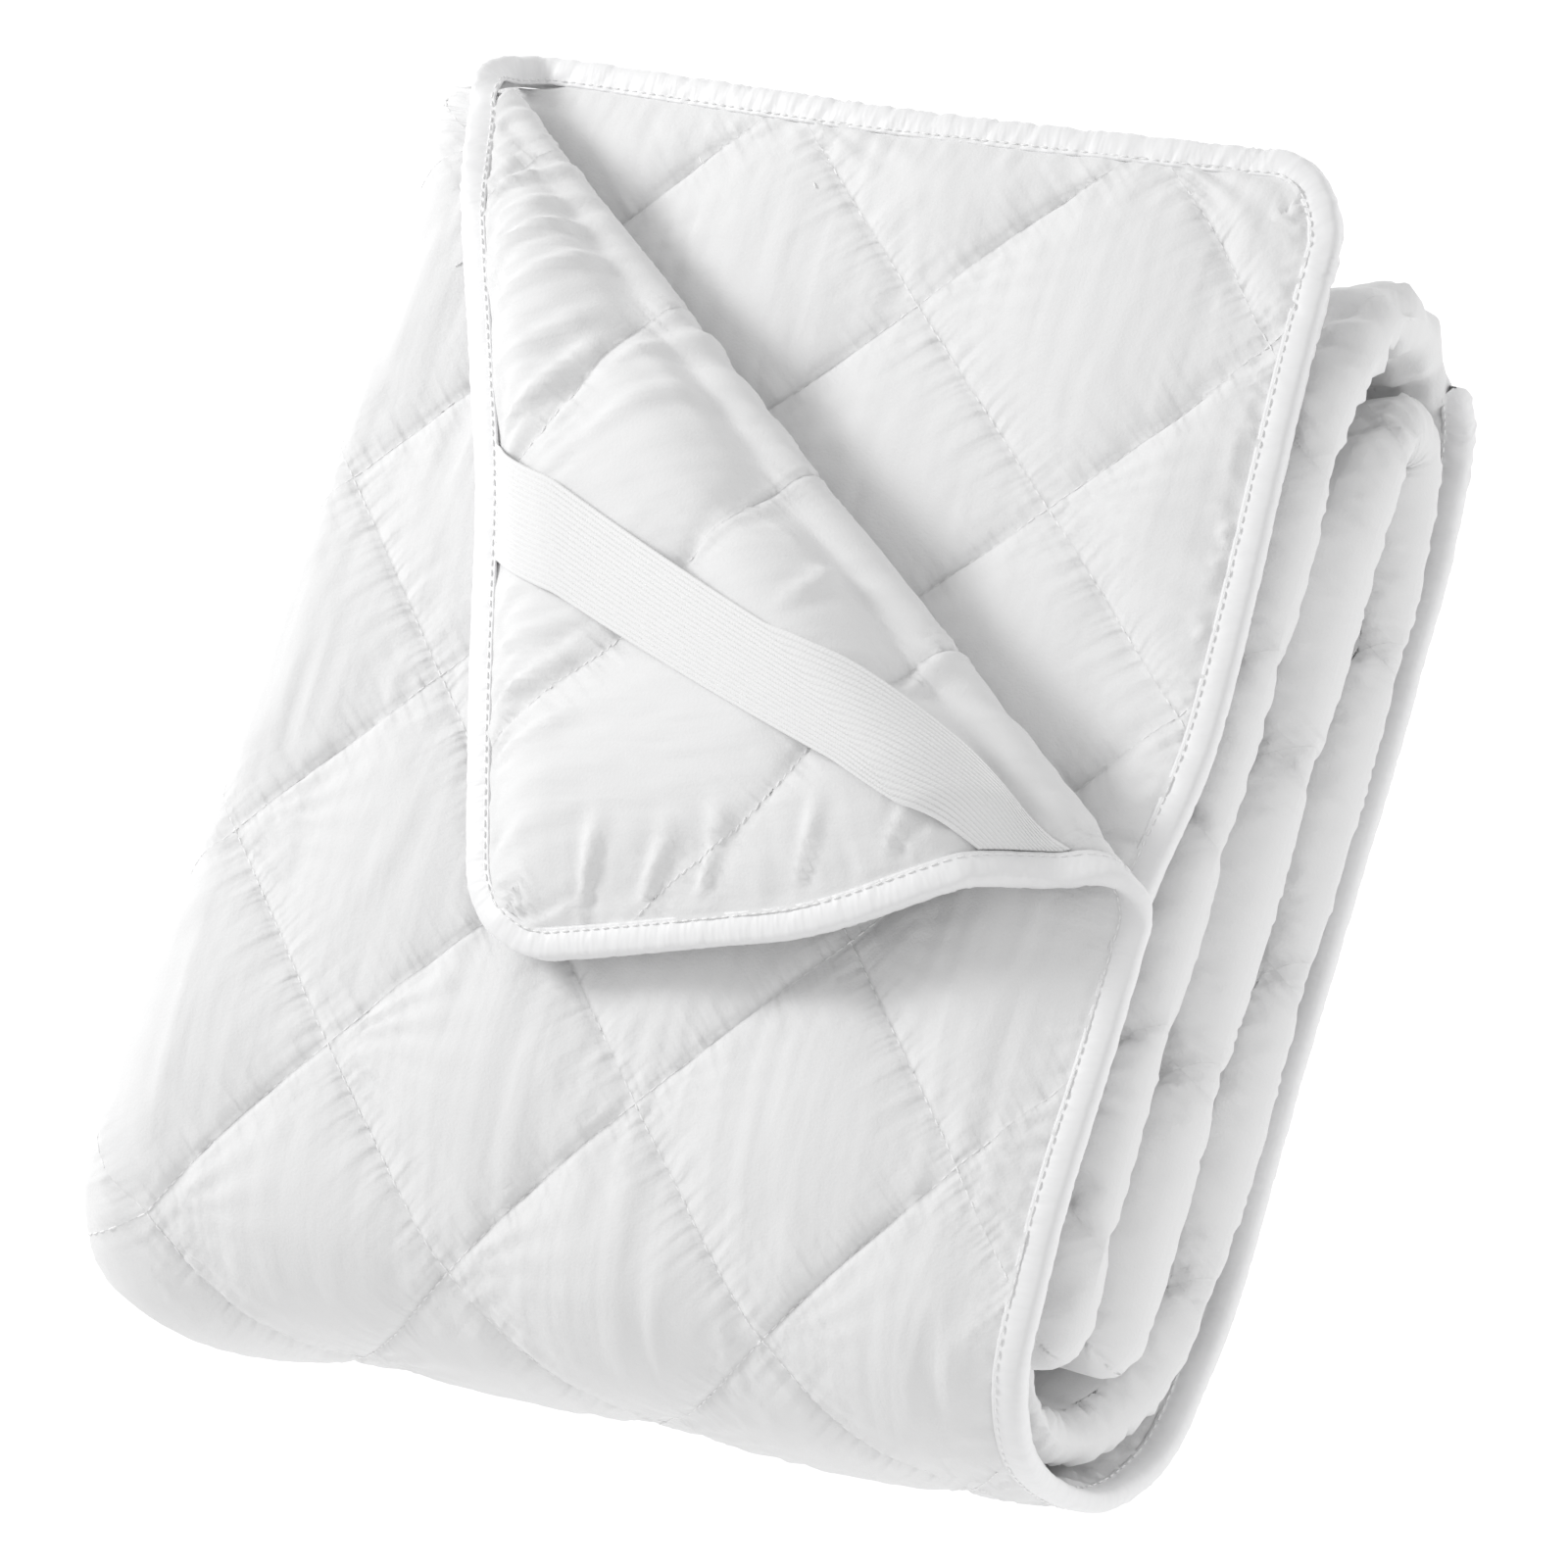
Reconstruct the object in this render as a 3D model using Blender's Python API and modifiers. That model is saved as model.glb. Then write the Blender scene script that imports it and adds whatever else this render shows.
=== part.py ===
"""Quilted mattress protector, folded into a bundle with one corner turned back over its front.

The pad is one cloth. It is folded in half along its length, on the -X side, and the doubled strip
is folded on itself: down the front, round the lower turn, up the back, over the upper arch and
down inside. Its raw edge is bound, and an elastic band crosses the corner that is turned back.

Frame, in metres: +X is the open side, +Y runs up the front to the free top edges and +Z is up.
The bundle lies on its back layer, and the origin is the centre of the underside of its box.
Each point of the cloth is known by its X and by v, its distance along the strip from the top edge.
"""

import math

import bmesh
import bpy
import numpy as np
from mathutils import Vector

# --- Driving sizes: the pad ----------------------------------------------------------------------
DIAMOND_WIDTH = 0.139        # corner to corner across the bundle
INNER_DIAMOND_WIDTH = 0.164  # the same on the inner cloth, which lies less gathered
DIAMOND_LENGTH = 0.1516      # corner to corner along it
STEPS = 2                    # mesh steps in half a diamond
EDGE_STEPS = (0.0, 0.0045, 0.012)   # mesh lines beside a raw edge, measured from it
END_MARGIN = 0.015           # least distance from the inner end to the mesh lines of the quilting

PUFF = 0.024                 # thickness in the middle of a diamond
SEAM = 0.007                 # thickness on a quilting line
FOLD_THICKNESS = 0.018       # most of it round the fold along the length
BOUND_EDGE = 0.012           # thickness beside the binding
BOUND_EASE = 0.030           # width over which it thins to that
ROUNDING = 0.013             # width over which an edge rounds off
EDGE_SHARE = 0.42            # share of the thickness left at the very edge

OUTER_SIDE = 0.199           # X of the outer cloth's raw edge
INNER_SIDE = 0.1955          # X of the inner cloth's raw edge
FOLD_SIDE = -0.186           # X where the fold along the length begins
FOLD_BULGE = 0.025           # how far that fold stands out
FOLD_ARC = 0.055             # length of the cloth round it
FOLD_COLUMNS = 3             # mesh lines along it
FOLD_TIGHT = 0.0142          # how much less it stands out beside the front
FOLD_TIGHT_UNTIL = 0.485     # distance from the top where that ends
FOLD_TIGHT_EASE = (0.110, 0.200)   # lengths over which it grows and fades
FOLD_FULL = 0.0120           # how much more it stands out above the lower turn
FOLD_FULL_AT = 0.518         # distance of that from the top
FOLD_FULL_LENGTH = 0.050     # half its length
FOLD_EVEN = (0.014, 0.8)     # even thickness of the fold, and the share of it in the real one
FOLD_EVEN_EASE = 0.012       # length of cloth over which that share grows
CORNER_RADIUS = 0.032        # rounding of the pad's corners
SIDE_BLEND = 0.060           # width over which the layers open out towards the open side
SIDE_SEAM_SHARE = 0.82       # share of a layer's thickness at the open side left on a seam
SIDE_BULGE = (0.009, 0.0135) # how far the inner layers stand out at the open side, by cloth
ARCH_BULGE = 0.0085          # how much further the upper arch does
ARCH_BULGE_AT = ("upper arch", 0.5)   # station and share of the way to the next where it does most
ARCH_BULGE_LENGTH = 0.045    # half the length of the strip that does
FRONT_DRAW = 0.0025          # how far the outer cloth's edge is drawn in below the turned corner
FRONT_DRAW_EASE = (0.200, 0.080)   # distance from the top where that starts, and length over which it grows
BULGE_EASE = (0.080, 0.120)  # length over which that grows, on the outer and the inner cloth

TURN_EVEN = (0.016, 0.55)    # even thickness of the lower turn, and the share of it in the real one
TURN_FULLNESS = 0.007        # how far the lower turn stands out beside the fold
TURN_FULL_LENGTH = 0.060     # half the length of the strip that does
TURN_FULL_WIDTH = 0.100      # and its width
TURN_DRAW = 0.008            # how far the open side is drawn in at the lower turn
TURN_DRAW_LENGTH = 0.085     # half the length of the strip that is
ROLL_DRAW = 0.0055           # how far the inner roll hangs down at the open side
END_DRAW = 0.010             # how far the inner end does
END_DRAW_LENGTH = 0.120      # length over which that grows
SECOND_TUCK = 0.012          # how far the second layer's edge lies back under the front
SECOND_TUCK_FROM = 0.220     # distance from the top where it starts
SECOND_TUCK_EASE = 0.110     # length over which it grows, and fades at the turn
SECOND_CORNER_DRAW = 0.0115  # how far the second layer's bared corner is drawn in
SECOND_CORNER_LENGTH = 0.260 # length of edge over which that fades
BARED_SWELL = 0.010          # rise of the second layer where the corner leaves it bare
BARED_EASE = 0.120           # width over which it rises
SECOND_TOP_RISE = 0.0018     # how far its top edge stands further up
SECOND_FOLD_RISE = 0.0088    # how much more it does beside the fold
SECOND_RISE_WIDTH = 0.190    # width over which that fades
SECOND_RISE_LENGTH = 0.090   # length of the strip over which both do

OUTER_NODE_X = 0.092         # X of one quilting crossing on the outer cloth
INNER_NODE_X = -0.059        # X of one quilting crossing on the inner cloth
INNER_ROW_SHIFT = 0.5        # its rows lie this share of half a diamond further down
FIRST_CROSSING = 0.031       # from the top edge to the first row of crossings

# --- Driving sizes: the turned corner --------------------------------------------------------------
# The corner is turned back over a roll whose outer line runs between these two points.
ROLL_START = Vector((-0.190, 0.5035))
ROLL_END = Vector((0.218, 0.192))
ROLL_RADIUS = (0.005, 0.010) # at its start and its end
ROLL_FLARE = 0.75            # exponent of its growth between them
ROLL_CUTS = 5                # mesh lines round the roll
ROLL_MERGE = 0.0025          # mesh points nearer a cut than this are moved onto it
ROLL_THICKNESS = 1.25        # most thickness on the roll, over its radius
ROLL_EASE = 0.020            # width beside the roll over which the thickness returns
FLAP_REST = 0.0265           # from the front's middle to the turned corner's middle
FLAP_EDGE_REST = 0.0190      # the same at the turned corner's edge
FLAP_EDGE_EASE = 0.045       # width over which the one becomes the other
FLAP_SETTLE = 0.030          # width in which the cloth settles after the roll
FLAP_SHARE = 0.895           # share of its flat depth left by its own creases
FLAP_SLIDE = 0.025           # how far it is pulled along the roll towards the open side
FLAP_SLIDE_EASE = 0.100      # width over which that grows
ARCH_HEIGHT = 0.018          # how far the turned corner arches up near the open side
ARCH_AT = 0.050              # distance of the arch's top from the roll
ARCH_FROM = 0.140            # distance along the roll where the arch starts
ARCH_EASE = 0.260            # length over which it grows
FOLD_END_RELIEF = 0.0055     # how far the top edge draws back where the fold meets it
FOLD_END_WIDTH = 0.035       # width of that
FOLD_END_LENGTH = 0.030      # length over which it fades

FLOOR_PRESS = 0.0020         # the back layer is pressed flat where it comes this near the floor

# --- Driving sizes: binding and elastic ------------------------------------------------------------
GAP = 0.0003                 # between touching pieces
BINDING_WIDTH = 0.0098
BINDING_THICKNESS = 0.0086
BINDING_SIDES = 8
BINDING_SQUARENESS = 0.7     # exponent that turns its round section into a flattened one
BINDING_RELIEF = 0.0002      # more gap, where the binding's facets cut a curve short
STRAIGHT_STEP = 0.035        # distance between the binding's sections on straight runs
BEND_STEP = 0.014            # and in bends
ROLL_STEP = 0.010            # and where it goes round the roll
CORNER_STEP = math.pi / 12.0 # and round a corner, as an angle
TOP_LEFT_BEND = -0.130       # X beyond which the top edge's binding bends towards the fold
SIDE_ROLL = (0.225, 0.335)   # distances from the top between which the side edge goes round the roll

ELASTIC_WIDTH = (0.041, 0.022)   # at the top edge, and at the side edge, where it is gathered
ELASTIC_THICKNESS = 0.002
ELASTIC_ON_TOP_EDGE = 0.0075 # X where its middle meets the top edge
ELASTIC_ON_SIDE_EDGE = 0.2545 # distance below the top edge where its middle meets the side edge
ELASTIC_INSET = 0.0012       # from the pad's edge to the band's ends
ELASTIC_HEIGHT = (0.0072, 0.0162)   # from the pad's middle to the band's, at its ends and between
ELASTIC_EASE = 0.022         # distance from the edge over which it rises
ELASTIC_GRID = (5, 19)       # mesh lines along it and across it
PROBE = 0.002                # step that finds which way the cloth faces

# The strip from its free top end to its inner end: for the outer and the inner cloth, the Y and Z
# of the middle, and the Z and the thickness at the open side. The last column marks the bends.
# station           outer y    z      side z  side t    inner y    z      side z  side t   bend
STATIONS = (
    ("top edge",    (0.503, 0.170, 0.1745, 0.012), (0.503, 0.150, 0.1620, 0.012), False),
    ("upper front", (0.440, 0.175, 0.1750, 0.012), (0.440, 0.148, 0.1620, 0.012), False),
    ("front",       (0.300, 0.180, 0.1750, 0.012), (0.300, 0.150, 0.1615, 0.012), False),
    ("lower front", (0.160, 0.178, 0.1740, 0.012), (0.160, 0.149, 0.1590, 0.012), False),
    ("into turn",   (0.070, 0.170, 0.1700, 0.012), (0.080, 0.143, 0.1500, 0.014), True),
    ("turn front",  (0.025, 0.154, 0.1560, 0.012), (0.048, 0.130, 0.1340, 0.020), True),
    ("turn high",   (0.004, 0.124, 0.1260, 0.012), (0.030, 0.108, 0.1080, 0.022), True),
    ("lower turn",  (0.000, 0.088, 0.0880, 0.012), (0.025, 0.085, 0.0840, 0.022), True),
    ("turn low",    (0.008, 0.050, 0.0480, 0.012), (0.033, 0.062, 0.0580, 0.024), True),
    ("turn back",   (0.032, 0.022, 0.0200, 0.012), (0.055, 0.046, 0.0420, 0.032), True),
    ("out of turn", (0.075, 0.0110, 0.0095, 0.012), (0.095, 0.041, 0.0375, 0.040), False),
    ("back",        (0.200, 0.0105, 0.0095, 0.012), (0.200, 0.040, 0.0375, 0.042), False),
    ("upper back",  (0.360, 0.0105, 0.0095, 0.012), (0.345, 0.040, 0.0380, 0.042), True),
    ("into arch",   (0.425, 0.016, 0.0140, 0.012), (0.395, 0.042, 0.0420, 0.040), True),
    ("arch back",   (0.464, 0.036, 0.0350, 0.014), (0.434, 0.049, 0.0550, 0.036), True),
    ("upper arch",  (0.476, 0.066, 0.0780, 0.030), (0.441, 0.058, 0.0690, 0.034), True),
    ("arch front",  (0.468, 0.096, 0.1230, 0.032), (0.432, 0.068, 0.0820, 0.038), True),
    ("out of arch", (0.436, 0.108, 0.1375, 0.033), (0.396, 0.074, 0.0880, 0.048), False),
    ("inside high", (0.360, 0.108, 0.1355, 0.036), (0.330, 0.075, 0.0880, 0.052), False),
    ("inside",      (0.220, 0.107, 0.1350, 0.036), (0.210, 0.074, 0.0880, 0.052), False),
    ("inside low",  (0.100, 0.106, 0.1320, 0.036), (0.105, 0.075, 0.0870, 0.050), False),
    ("inner end",   (0.044, 0.105, 0.1220, 0.030), (0.052, 0.077, 0.0870, 0.040), False),
)
TOP_Y = STATIONS[0][1][0]
BOUND_OUTER_UNTIL = ("arch back", 0.4)     # where the outer cloth's bound edge goes out of sight
BOUND_INNER_UNTIL = ("lower front", 0.6)   # where the inner cloth's does

# colour and roughness of each piece
COLOURS = {
    "quilted_pad": ((0.86, 0.86, 0.87), 0.85),
    "edge_binding": ((0.92, 0.92, 0.93), 0.55),
    "corner_elastic": ((0.88, 0.88, 0.89), 0.75),
}


# --- Small helpers -------------------------------------------------------------------------------
def limited(value, low=0.0, high=1.0):
    return min(max(value, low), high)


def smooth(value):
    """Ease from 0 to 1."""
    value = limited(value)
    return value * value * (3.0 - 2.0 * value)


def mix(low, high, share):
    return low + (high - low) * share


def spaced(low, high, step):
    """Even values from low to high, about a step apart."""
    count = max(round(abs(high - low) / step), 1)
    return [mix(low, high, k / count) for k in range(count + 1)]


def spline(knots, values, at):
    """Cubic curve through the values, with slopes taken from the neighbouring knots."""
    slopes = np.gradient(values, knots, axis=0)
    index = int(np.clip(np.searchsorted(knots, at) - 1, 0, len(knots) - 2))
    span = knots[index + 1] - knots[index]
    s = (at - knots[index]) / span
    return ((2 * s**3 - 3 * s**2 + 1) * values[index] + (s**3 - 2 * s**2 + s) * span * slopes[index]
            + (3 * s**2 - 2 * s**3) * values[index + 1] + (s**3 - s**2) * span * slopes[index + 1])


# --- The folded strip ----------------------------------------------------------------------------
class Strip:
    """The doubled strip: its outer and inner cloth from the free top edges to the inner end."""

    def __init__(self):
        self.rows = {"outer": np.array([row[1] for row in STATIONS]),
                     "inner": np.array([row[2] for row in STATIONS])}
        steps = np.hypot(*np.diff(self.rows["outer"][:, :2], axis=0).T)
        self.knots = np.concatenate([[0.0], np.cumsum(steps)])
        self.length = float(self.knots[-1])
        self.names = [row[0] for row in STATIONS]
        self.bends = [row[3] for row in STATIONS]

    def along(self, cloth, v):
        """Y, Z, side Z and side thickness at the distance v from the top edge."""
        if v < 0.0:
            start = self.rows[cloth][0].copy()
            start[0] -= v
            return start
        return spline(self.knots, self.rows[cloth], min(v, self.length))

    def at(self, name, share=0.0):
        """Distance from the top edge of a station, or of a share of the way to the next."""
        index = self.names.index(name)
        return float(mix(self.knots[index], self.knots[index + 1], share))

    def in_bend(self, v):
        return self.bends[int(np.clip(np.searchsorted(self.knots, v) - 1, 0, len(self.bends) - 1))]

    def side(self, cloth):
        return OUTER_SIDE if cloth == "outer" else INNER_SIDE

    def on_front(self, v):
        return v < self.at("into turn")


STRIP = Strip()
ROLL_LENGTH = (ROLL_END - ROLL_START).length
ROLL_ALONG = (ROLL_END - ROLL_START).normalized()
ROLL_ACROSS = Vector((-ROLL_ALONG.y, ROLL_ALONG.x))


def open_share(cloth, x):
    """0 inside the bundle and 1 at the open side."""
    return smooth(1.0 - (STRIP.side(cloth) - x) / SIDE_BLEND)


def side_shift(cloth, v):
    """How far the cloth moves along X at the open side, layer by layer."""
    drawn = TURN_DRAW * near_turn(v, TURN_DRAW_LENGTH)
    if cloth == "outer":
        bulge = SIDE_BULGE[0] * smooth((v - STRIP.at(*BOUND_OUTER_UNTIL)) / BULGE_EASE[0])
        arch = ARCH_BULGE * math.exp(-((v - STRIP.at(*ARCH_BULGE_AT)) / ARCH_BULGE_LENGTH) ** 2)
        return bulge + arch - FRONT_DRAW * smooth((v - FRONT_DRAW_EASE[0]) / FRONT_DRAW_EASE[1]) - drawn
    tucked = (smooth((v - SECOND_TUCK_FROM) / SECOND_TUCK_EASE)
              * smooth(1.0 - (v - STRIP.at("into turn")) / SECOND_TUCK_EASE))
    corner = smooth(1.0 - v / SECOND_CORNER_LENGTH)
    bulge = smooth((v - STRIP.at("lower turn")) / BULGE_EASE[1])
    return SIDE_BULGE[1] * bulge - SECOND_TUCK * tucked - SECOND_CORNER_DRAW * corner - drawn


def fold_bulge(v):
    """How far the fold along the length stands out."""
    tight = smooth(v / FOLD_TIGHT_EASE[0]) * smooth((FOLD_TIGHT_UNTIL - v) / FOLD_TIGHT_EASE[1])
    full = math.exp(-((v - FOLD_FULL_AT) / FOLD_FULL_LENGTH) ** 2)
    return FOLD_BULGE - FOLD_TIGHT * tight + FOLD_FULL * full


def near_turn(v, length):
    """1 at the lower turn, fading over a length to either side."""
    return math.exp(-((v - STRIP.at("lower turn")) / length) ** 2)


def turn_fullness(x, v):
    """How far the lower turn stands out beside the fold."""
    return TURN_FULLNESS * near_turn(v, TURN_FULL_LENGTH) * smooth(1.0 - (x - FOLD_SIDE) / TURN_FULL_WIDTH)


def side_hang(cloth, v):
    """How far the inner roll and the inner end hang down at the open side."""
    hang = END_DRAW * smooth(1.0 - (STRIP.length - v) / END_DRAW_LENGTH)
    if cloth == "inner":
        hang += ROLL_DRAW * near_turn(v, TURN_DRAW_LENGTH)
    return hang


def roll_radius(t):
    """The roll widens from the fold to the open side."""
    return mix(*ROLL_RADIUS, limited(t / ROLL_LENGTH) ** ROLL_FLARE)


def roll_place(x, y):
    """Distance along the roll's line and beyond it."""
    offset = Vector((x, y)) - ROLL_START
    return offset.dot(ROLL_ALONG), offset.dot(ROLL_ACROSS)


def front_height(x, y):
    """Height of the front layer's middle."""
    row = STRIP.along("outer", max(TOP_Y - y, 0.0))
    return mix(row[1], row[2], open_share("outer", x))


def turned_back(x, y, v):
    """Place of a point of the front layer, rolled back over the front beyond the roll's line."""
    t, s = roll_place(x, y)
    radius = roll_radius(t)
    beyond = s + radius
    if beyond <= 0.0:
        return Vector((x, y, front_height(x, y)))
    round_end = math.pi * radius
    if beyond < round_end:
        across = radius * (math.sin(beyond / radius) - 1.0)
        rise = radius * (1.0 - math.cos(beyond / radius))
    else:
        rest = (beyond - round_end) * FLAP_SHARE
        across = -radius - rest
        to_edge = min(v, OUTER_SIDE - x) + BINDING_WIDTH / 2.0
        lying = mix(FLAP_EDGE_REST, FLAP_REST, smooth(to_edge / FLAP_EDGE_EASE))
        arched = rest / ARCH_AT * math.exp(1.0 - rest / ARCH_AT)
        rise = (mix(2.0 * radius, lying, smooth(rest / FLAP_SETTLE))
                + ARCH_HEIGHT * arched * smooth((t - ARCH_FROM) / ARCH_EASE))
        t += FLAP_SLIDE * smooth(rest / FLAP_SLIDE_EASE)
    flat = ROLL_START + ROLL_ALONG * t + ROLL_ACROSS * across
    return Vector((flat.x, flat.y, front_height(flat.x, flat.y) + rise))


def place(cloth, x, v):
    """Place of the middle of the outer or inner cloth, at X x and the distance v from the top."""
    row = STRIP.along(cloth, v)
    share = open_share(cloth, x)
    y, z = row[0], mix(row[1], row[2], share)
    x += side_shift(cloth, v) * share
    y -= turn_fullness(x, v) + side_hang(cloth, v) * share
    if STRIP.on_front(v) and cloth == "outer":
        return turned_back(x, y, v)
    if STRIP.on_front(v):
        rise = SECOND_TOP_RISE + SECOND_FOLD_RISE * smooth(1.0 - (x - FOLD_SIDE) / SECOND_RISE_WIDTH)
        y += rise * smooth(1.0 - v / SECOND_RISE_LENGTH)
        z += BARED_SWELL * smooth(roll_place(x, y)[1] / BARED_EASE) * (1.0 - share)
    return Vector((x, y, z))


def place_on_fold(angle, v):
    """Place on the fold along the length: 0 is the outer cloth's side of it, pi the inner's."""
    outer, inner = place("outer", FOLD_SIDE, v), place("inner", FOLD_SIDE, v)
    bulge = Vector((fold_bulge(v) * math.sin(angle), 0.0, 0.0))
    return (outer + inner) / 2.0 + (outer - inner) / 2.0 * math.cos(angle) - bulge


def rounded_corner(cloth, x, v):
    """Pull the square corner of the cloth into a round one."""
    across = x - (STRIP.side(cloth) - CORNER_RADIUS)
    up = CORNER_RADIUS - v
    if across <= 0.0 or up <= 0.0:
        return x, v
    pull = max(across, up) / math.hypot(across, up)
    return STRIP.side(cloth) - CORNER_RADIUS + across * pull, CORNER_RADIUS - up * pull


# --- The quilted pad -----------------------------------------------------------------------------
class FlatPad:
    """The pad laid out flat: U is the outer cloth's X, and goes on past the fold to the inner's."""

    def __init__(self):
        self.inner_start = FOLD_SIDE - FOLD_ARC

    def find(self, u):
        """Part of the pad at U, and the X on a cloth or the angle on the fold."""
        if u >= FOLD_SIDE:
            return "outer", u
        if u > self.inner_start:
            return "fold", math.pi * (FOLD_SIDE - u) / FOLD_ARC
        return "inner", FOLD_SIDE + self.inner_start - u

    def cloth_columns(self, cloth, node_x, diamond):
        """X of the mesh lines on one cloth, on its quilting crossings and between them."""
        step = diamond / 2.0 / STEPS
        side = STRIP.side(cloth)
        first = node_x + (side - BOUND_EASE - node_x) // step * step
        count = int((first - FOLD_SIDE) // step)
        crossings = [first - k * step for k in range(count + 1)]
        return [side - d for d in EDGE_STEPS] + crossings + [FOLD_SIDE]

    def columns(self):
        """U of the mesh lines, from the outer cloth's raw edge round the fold to the inner's."""
        fold = spaced(FOLD_SIDE, self.inner_start, FOLD_ARC / (FOLD_COLUMNS + 1))[1:-1]
        second = self.cloth_columns("inner", INNER_NODE_X, INNER_DIAMOND_WIDTH)
        inner = [FOLD_SIDE + self.inner_start - x for x in second]
        return self.cloth_columns("outer", OUTER_NODE_X, DIAMOND_WIDTH) + fold + inner[::-1]

    def rows(self):
        """V of the mesh lines across the strip, closer together in the bends."""
        step = DIAMOND_LENGTH / 2.0 / STEPS
        rows = list(EDGE_STEPS)
        v = FIRST_CROSSING
        while v < STRIP.length - END_MARGIN:
            rows.append(v)
            v += step / 2.0 if STRIP.in_bend(v + step / 4.0) else step
        return rows + [STRIP.length - d for d in EDGE_STEPS[::-1]]

    def lattice_place(self, u, v):
        """Quilting lattice numbers: whole numbers of one parity are crossings of the lines."""
        row = (v - FIRST_CROSSING) / (DIAMOND_LENGTH / 2.0)
        if u > FOLD_SIDE - FOLD_ARC / 2.0:
            return (u - OUTER_NODE_X) / (DIAMOND_WIDTH / 2.0), row
        x = FOLD_SIDE + self.inner_start - u
        return (x - INNER_NODE_X) / (INNER_DIAMOND_WIDTH / 2.0), row + INNER_ROW_SHIFT

    def place(self, u, v):
        """Place in the bundle of the pad's middle at U and V."""
        part, value = self.find(u)
        off_fold = 0.0 if part == "fold" else value - FOLD_SIDE
        relief = smooth(1.0 - off_fold / FOLD_END_WIDTH) * smooth(1.0 - v / FOLD_END_LENGTH)
        v += FOLD_END_RELIEF * relief
        if part == "fold":
            return place_on_fold(value, v)
        return place(part, *rounded_corner(part, value, v))

    def thickness(self, u, v):
        """Thickness of the pad at U and V."""
        part, value = self.find(u)
        quilt = mix(SEAM, PUFF, puff_share(*self.lattice_place(u, v)))
        quilt = mix(quilt, TURN_EVEN[0], TURN_EVEN[1] * near_turn(v, TURN_FULL_LENGTH))
        to_end = min(v, STRIP.length - v)
        if part == "fold":
            inward = smooth(min(FOLD_SIDE - u, u - self.inner_start) / FOLD_EVEN_EASE)
            quilt = mix(min(quilt, FOLD_THICKNESS), FOLD_EVEN[0], FOLD_EVEN[1] * inward)
            return thinned(quilt, v) * rounding(to_end)
        to_side = STRIP.side(part) - value
        wide = STRIP.along(part, v)[3] * mix(SIDE_SEAM_SHARE, 1.0, quilt / PUFF)
        quilt = mix(quilt, wide, smooth(1.0 - to_side / SIDE_BLEND))
        if part == "outer" and STRIP.on_front(v):
            t, s = roll_place(value, TOP_Y - v)
            radius = roll_radius(t)
            half_turn = math.pi / 2.0 * radius
            off_roll = abs(s + radius - half_turn) - half_turn
            limit = min(quilt, ROLL_THICKNESS * radius)
            quilt = mix(quilt, limit, smooth(1.0 - off_roll / ROLL_EASE))
        return thinned(quilt, v) * rounding(min(to_side, to_end))


PAD = FlatPad()


def line_distance(number):
    """Distance of a lattice number from the nearest even one, which is on a quilting line."""
    return abs(number - 2.0 * round(number / 2.0))


def puff_share(i, j):
    """0 on a quilting line, 1 in the middle of a diamond."""
    share = 1.0
    for distance in (line_distance(i + j), line_distance(i - j)):
        share *= math.sqrt(max(1.0 - (1.0 - distance) ** 2, 0.0))
    return share


def thinned(quilt, v):
    """Thickness brought down to that of the bound edge at the top."""
    return mix(quilt, min(quilt, BOUND_EDGE), smooth(1.0 - v / BOUND_EASE))


def rounding(distance):
    """Rounded end of a layer, seen from the side."""
    share = limited(distance / ROUNDING)
    return mix(EDGE_SHARE, 1.0, math.sqrt(1.0 - (1.0 - share) ** 2))


def off_line(first, second):
    """How far a diagonal between two lattice places strays from a quilting line."""
    rising = line_distance(first[0] + first[1]) + line_distance(second[0] + second[1])
    falling = line_distance(first[0] - first[1]) + line_distance(second[0] - second[1])
    return min(rising, falling)


def split_along_lattice(mesh):
    """Split each cell of the flat mesh on the diagonal that the quilting line through it follows."""
    for face in list(mesh.faces):
        corners = face.verts[:]
        a, b, c, d = (PAD.lattice_place(vert.co.x, vert.co.y) for vert in corners)
        first = 0 if off_line(a, c) <= off_line(b, d) else 1
        bmesh.utils.face_split(face, corners[first], corners[first + 2])


def cut_along_roll(mesh):
    """Cut the flat mesh along the lines of the front where the roll starts, turns and ends."""
    lowest = STRIP.at("into turn")
    for k in range(ROLL_CUTS):
        turn = math.pi * k / (ROLL_CUTS - 1) - 1.0
        ends = []
        for t in (0.0, ROLL_LENGTH):
            flat = ROLL_START + ROLL_ALONG * t + ROLL_ACROSS * (turn * roll_radius(t))
            ends.append(Vector((flat.x, TOP_Y - flat.y, 0.0)))
        along = ends[1] - ends[0]
        front = [face for face in mesh.faces if face.calc_center_median().x > FOLD_SIDE
                 and face.calc_center_median().y < lowest]
        geometry = set(front)
        for face in front:
            geometry.update(face.edges, face.verts)
        bmesh.ops.bisect_plane(mesh, geom=list(geometry), dist=ROLL_MERGE, plane_co=ends[0],
                               plane_no=Vector((along.y, -along.x, 0.0)).normalized())
    bmesh.ops.triangulate(mesh, faces=mesh.faces[:])


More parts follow.
